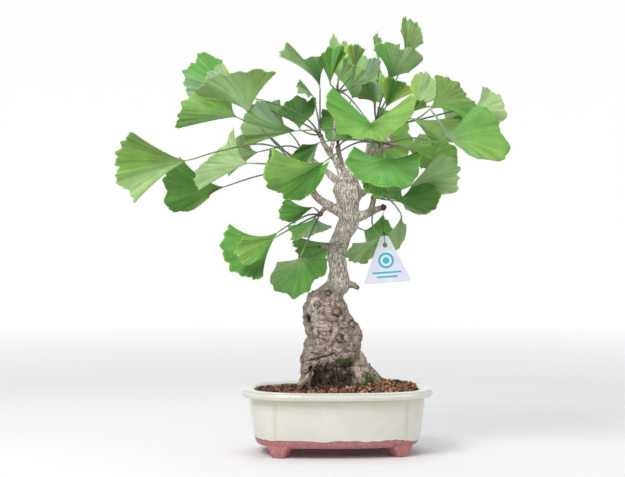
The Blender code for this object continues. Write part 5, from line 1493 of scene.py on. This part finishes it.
def moss_on_trunk():
    """Places of the leaflets on the foot of the trunk, the ways they point, and how mossy each place is.

    The patches are set by a lattice. They are mossy over the hollow's right half and at the right root.
    """
    angle = RANDOM.uniform(*np.radians(MOSS_ARC), MOSS_TUFTS)
    places, ways = on_trunk(RANDOM.uniform(*MOSS_LEVELS, MOSS_TUFTS), angle, 0.4)
    x, z, depth = eye_places(places)
    hollow = foot_hollow(places / MM, x, z, depth)
    brow = smooth_step(5, 2, abs(slant(x, z, HOLLOW_LINE) + 2))
    root = smooth_step(62, 66, x) * smooth_step(84, 80, z)
    mossy = smooth_step(32, 42, x) * np.maximum(brow, root)
    keep = lattice(places / MM, 4, 11) > 0.78 - 0.45 * mossy - 0.3 * hollow
    places = places - ways * (hollow * (HOLLOW_DEPTH - 0.6))[:, None] * MM
    return places[keep], ways[keep], mossy[keep]


def moss_on_soil():
    """Places of the leaflets on the soil round the trunk, and how mossy each is: more so at the right."""
    flat = RANDOM.uniform(*MOSS_FIELD, (MOSS_SOIL_TUFTS, 2))
    flat = np.hstack((flat, np.zeros((len(flat), 1)))) * MM
    out = past_trunk(flat)
    spread = lattice(flat / MM * (1, 1, 0), 7, 12) + 0.25 * smooth_step(40, 60, eye_places(flat)[0])
    flat = flat[(out > -1) & (out < 9) & (spread > 0.55 + 0.03 * out) & in_pot(flat, 16)]
    flat[:, 2] = (soil_height(flat) + 1.2) * MM
    return flat, smooth_step(36, 52, eye_places(flat)[0])


def build_moss():
    """Moss on the foot of the trunk and round its right root, and dead root fibres in the hollow.

    Leaflets 1 to 2.4 mm long stand out from the bark and the soil, green where the place is mossy and
    brown elsewhere.
    """
    places, ways, mossy = moss_on_trunk()
    flat, flat_mossy = moss_on_soil()
    mossy = np.append(mossy, flat_mossy)
    places = np.vstack((places, flat))
    ways = np.vstack((ways, np.broadcast_to((0, -0.2, 1.0), flat.shape)))
    ways = unit(ways * 0.8 + RANDOM.normal(size=ways.shape) * 0.55 + (0, 0, 0.35))
    count = len(places)
    kinds = np.array([linear(shade) for shade in MOSS_KINDS])
    green = RANDOM.random(count) < 0.12 + 0.8 * mossy
    pick = np.where(green, RANDOM.integers(0, 3, count), RANDOM.integers(3, 6, count))
    tones = kinds[pick] * RANDOM.uniform(0.7, 1.2, (count, 1))
    lengths, widths = RANDOM.uniform(*MOSS_LENGTHS, count), RANDOM.uniform(*MOSS_WIDTHS, count)
    moss = spikes(places, ways, lengths, widths, tones)
    made = piece("moss_tufts", [moss], [moss_finish()])


def rootlet(start, drift, top, bend):
    """The path of a fine root: down the front of the foot, drifting sideways, and out over the soil."""
    steps = np.linspace(0, 1, 5)
    x = start + drift * steps + bend
    path = []
    for level, across in zip(top + (ROOTLET_FOOT - top) * steps, x):
        outline = trunk_ring(level, 0.6)
        seen, _, depth = eye_places(outline)
        path.append(outline[np.where(depth < 0, np.abs(seen - across), 99).argmin()])
    path = np.array(path)
    path[:, 1] -= steps**2 * RANDOM.uniform(2, 9) * MM
    path[:, 2] = np.maximum(path[:, 2], (soil_height(path) + 0.8 - 3 * (steps > 0.9)) * MM)
    return smooth_path(path, 22)


def build_rootlets():
    """Fine roots that show at the foot: pale ones at the left front, dark wiry ones over the moss."""
    shells = []
    for kind, (count, starts, drifts, tops, radii) in ROOTLETS.items():
        for number in range(count):
            start, drift, top = (RANDOM.uniform(*span) for span in (starts, drifts, tops))
            path = rootlet(start, drift, top, RANDOM.normal(0, 0.8, 5))
            radius = RANDOM.uniform(*radii)
            tone = linear(ROOTLET_TONES[kind][number % 3])
            shells.append(bar(path, np.linspace(radius, radius * 0.5, len(path)), 6, tone=tone))
    made = piece("fine_roots", shells, [bark_finish()])


def tag_place(x, z, depth=0.0):
    """A place on the tag, from the middle of its top edge, as a point; the tag leans with its drop."""
    cosine, sine = math.cos(TAG_LEAN), math.sin(TAG_LEAN)
    top_x, top_z, top_depth = TAG_PLACE
    return spot(top_x + x * cosine - z * sine, top_z + x * sine + z * cosine, top_depth + depth)


def tag_outline(count):
    """The tag's edge as x and z: a triangle with its top cut off, each corner eased by a short curve."""
    half = TAG_BASE / 2
    corners = np.array(((TAG_TOP / 2, 0), (half, -TAG_HEIGHT), (-half, -TAG_HEIGHT), (-TAG_TOP / 2, 0)))
    ease = np.array(TAG_EASE)[:, None]
    before = corners + unit(np.roll(corners, 1, axis=0) - corners) * ease
    after = corners + unit(np.roll(corners, -1, axis=0) - corners) * ease
    t = np.linspace(0, 1, 7)[:, None]
    line = [a * (1 - t) ** 2 + 2 * c * t * (1 - t) + b * t**2 for a, c, b in zip(before, corners, after)]
    line = np.vstack(line + [line[0][:1]])
    length = np.append(0, np.cumsum(np.hypot(*np.diff(line, axis=0).T)))
    place = np.linspace(0, length[-1], count, endpoint=False)
    return np.stack([np.interp(place, length, line[:, i]) for i in (0, 1)], axis=-1)


def build_tag(finish):
    """The tag: rays from the edge of its hole out to its own edge, as a thin sheet."""
    edge = tag_outline(TAG_EDGE_POINTS)
    hole = np.array((0, -TAG_HOLE_DROP))
    away = unit(edge - hole) * TAG_HOLE / 2
    ways = np.linspace(0, 1, TAG_ROWS)[:, None, None]
    flat = hole + away + (edge - hole - away) * ways
    tops = np.array([[tag_place(x, z) for x, z in row] for row in flat])
    half = (turned((0, -1, 0)) - turned((0, 0, 0))) * TAG_THICK / 2
    tone = np.ones((*flat.shape[:2], 3))
    shell = sheet(tops + half, tops - half, flat, tone, ring=True)
    tag = piece("plant_tag", [shell], [finish], smooth=False)
    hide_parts("tag")
    return tag


def thread_path():
    """The thread's middle line, the middle of its turn round the stub, and the way the stub runs there.

    The line goes from that turn down through the tag's hole, and up again to the knot.
    """
    stub, _ = limb(BRANCHES["stub_right"], STUB_POINTS)
    tie_middle = stub[TIE_POINT]
    through = -TAG_HOLE_DROP + TAG_HOLE / 2 - GAP - THREAD_RADIUS
    half_turn = np.linspace(0, math.pi, 9)
    sides, drops = LOOP_RADIUS * np.cos(half_turn), LOOP_RADIUS * np.sin(half_turn)
    top = tie_middle - np.array((0, 0, TIE_RADIUS + 2 * THREAD_RADIUS + GAP)) * MM
    route = [top, tag_place(-1, 14, -0.6), tag_place(0, 2, -1.7)]
    route += [tag_place(0, through + LOOP_RADIUS - drop, -side) for side, drop in zip(sides, drops)]
    route += [tag_place(0, KNOT_DROP, 1.7)]
    return smooth_path(route, THREAD_POINTS), tie_middle, unit(stub[-1] - stub[-4])


def build_knot(finish):
    """The knot over the tag: a strand wound round and round in a small ball."""
    middle = tag_place(0, KNOT_DROP + GAP + KNOT_RADIUS, LOOP_RADIUS)
    turns = np.linspace(0, 2 * math.pi * KNOT_TURNS, 30 * KNOT_TURNS)
    inner = (KNOT_RADIUS - KNOT_STRAND - 0.02) * MM
    wind = np.stack((np.cos(turns), np.sin(turns), 0.9 * np.sin(turns / 3)), axis=-1) * inner
    knot = piece("tag_knot_wound", [bar(middle + wind, [KNOT_STRAND] * len(wind), 8)], [finish])
    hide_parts("tag_knot")
    return knot


def build_tie(middle, along, finish):
    """The turns of thread round the stub: three rings side by side."""
    side = unit(np.cross(along, (0, 0, 1.0)))
    over = np.cross(along, side)
    angle = np.linspace(0, 2 * math.pi, 73)[:, None]
    ring = (np.cos(angle) * side + np.sin(angle) * over) * (TIE_RADIUS - 0.05)
    shells = [
        bar(middle + (along * shift + ring) * MM, [THREAD_RADIUS] * len(ring), 8) for shift in TIE_SHIFTS
    ]
    tie = piece("tag_turns", shells, [finish])
    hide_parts("tag_tie")
    return tie


def build_thread():
    """The tag with its thread, its knot and the turns round the stub; the thread is the cord."""
    finish = thread_finish()
    path, tie_middle, along = thread_path()
    thread = piece("tag_cord", [bar(path, [THREAD_RADIUS] * len(path), 12)], [finish])
    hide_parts("tag_thread")
    knot = build_knot(finish)
    tie = build_tie(tie_middle, along, finish)
    tag = build_tag(tag_finish())


def paper_finish():
    """Studio paper: matt and pale. It glows a little far from the part, where the lamps don't reach."""
    made, tree, place = material("studio_paper")
    away = node(tree, "VectorMath", {0: place}, operation="LENGTH")
    glow = node(tree, "MapRange", {0: away, 1: 0.8, 2: 2.4, 3: 0.0, 4: 0.5})
    paper = node(tree, "BsdfPrincipled", {"Base Color": "EEEEF0", "Emission Strength": glow})
    paper.inputs["Emission Color"].default_value = (1, 1, 1, 1)
    paper.inputs["Roughness"].default_value = 0.9
    node(tree, "OutputMaterial", {"Surface": paper})
    return made


def round_stage(name, radii, levels, finish):
    """A surface of revolution about the part: a height at each radius, carried round in a circle."""
    angle = np.linspace(0, 2 * math.pi, STAGE_SIDES, endpoint=False)
    x, y = np.outer(radii, np.cos(angle)), np.outer(radii, np.sin(angle))
    z = np.broadcast_to(np.asarray(levels, float)[:, None], x.shape)
    points = np.stack((x, y, z), axis=-1).reshape(-1, 3)
    mesh = bpy.data.meshes.new(name)
    mesh.from_pydata(points, [], grid_quads(*x.shape, ring=True).tolist())
    mesh.polygons.foreach_set("use_smooth", [True] * len(mesh.polygons))
    mesh.materials.append(finish)
    made = placed(name, mesh)
    return made


def build_stage():
    """A plain pale floor, and round it a wall with a soft foot that takes no light from the part."""
    finish = paper_finish()
    round_stage("studio_floor", (0.001, 0.3, 0.6, 0.9, FLOOR_RADIUS), [0] * 5, finish)
    turn = np.linspace(0, math.pi / 2, 24)
    radii = np.concatenate(([FLOOR_RADIUS], WALL_RADIUS - WALL_FOOT * (1 - np.sin(turn)), [WALL_RADIUS]))
    levels = np.concatenate(([0], WALL_FOOT * (1 - np.cos(turn)), [WALL_HEIGHT]))
    wall = round_stage("studio_wall", radii, levels, finish)
    wall.visible_diffuse = False
    wall.visible_shadow = False


def light(name, place, size, power, tint):
    """A soft square lamp that looks at the middle of the tree."""
    data = bpy.data.lights.new(name, "AREA")
    data.shape = "SQUARE"
    data.size = size
    data.energy = power
    data.color = tint
    lamp = placed(name, data)
    lamp.location = place
    lamp.rotation_euler = (Vector(LAMP_AIM) - Vector(place)).to_track_quat("-Z", "Y").to_euler()


def build_lights():
    """Soft studio light: a white world, a warm key lamp at the left, a cool weak fill and a top lamp."""
    world = bpy.data.worlds.new("studio")
    world.use_nodes = True
    background = world.node_tree.nodes["Background"]
    background.inputs["Color"].default_value = (1, 1, 1, 1)
    background.inputs["Strength"].default_value = WORLD_LIGHT
    bpy.context.scene.world = world
    bpy.context.scene.view_settings.view_transform = "Standard"
    for name, lamp in LAMPS.items():
        light(name, *lamp)


def build_camera():
    """The photograph's view: level, from the height that the eye has over the table."""
    data = bpy.data.cameras.new("camera")
    data.sensor_width = SENSOR
    data.lens = SENSOR * EYE_DISTANCE / PHOTO_WIDTH
    data.clip_end = 50
    camera = placed("camera", data)
    camera.location = turned((0, -EYE_DISTANCE, EYE_HEIGHT))
    camera.rotation_euler = (math.pi / 2, 0, -VIEW_TURN)
    bpy.context.scene.camera = camera


def dress_nodes():
    """The packed soil bed and the drain meshes stay, and get their own finish."""
    for name, finish in (
        ("soil", bed_finish), ("drain_screen_left", screen_finish), ("drain_screen_right", screen_finish),
    ):
        made = finish()
        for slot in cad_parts[name].material_slots:
            slot.material = made


build_camera()
build_lights()
build_stage()
build_thread()
dress_nodes()
build_pot()
build_trunk()
build_sprays([leaf_finish(), stalk_finish(), bud_finish()])
build_granules()
build_moss()
build_rootlets()
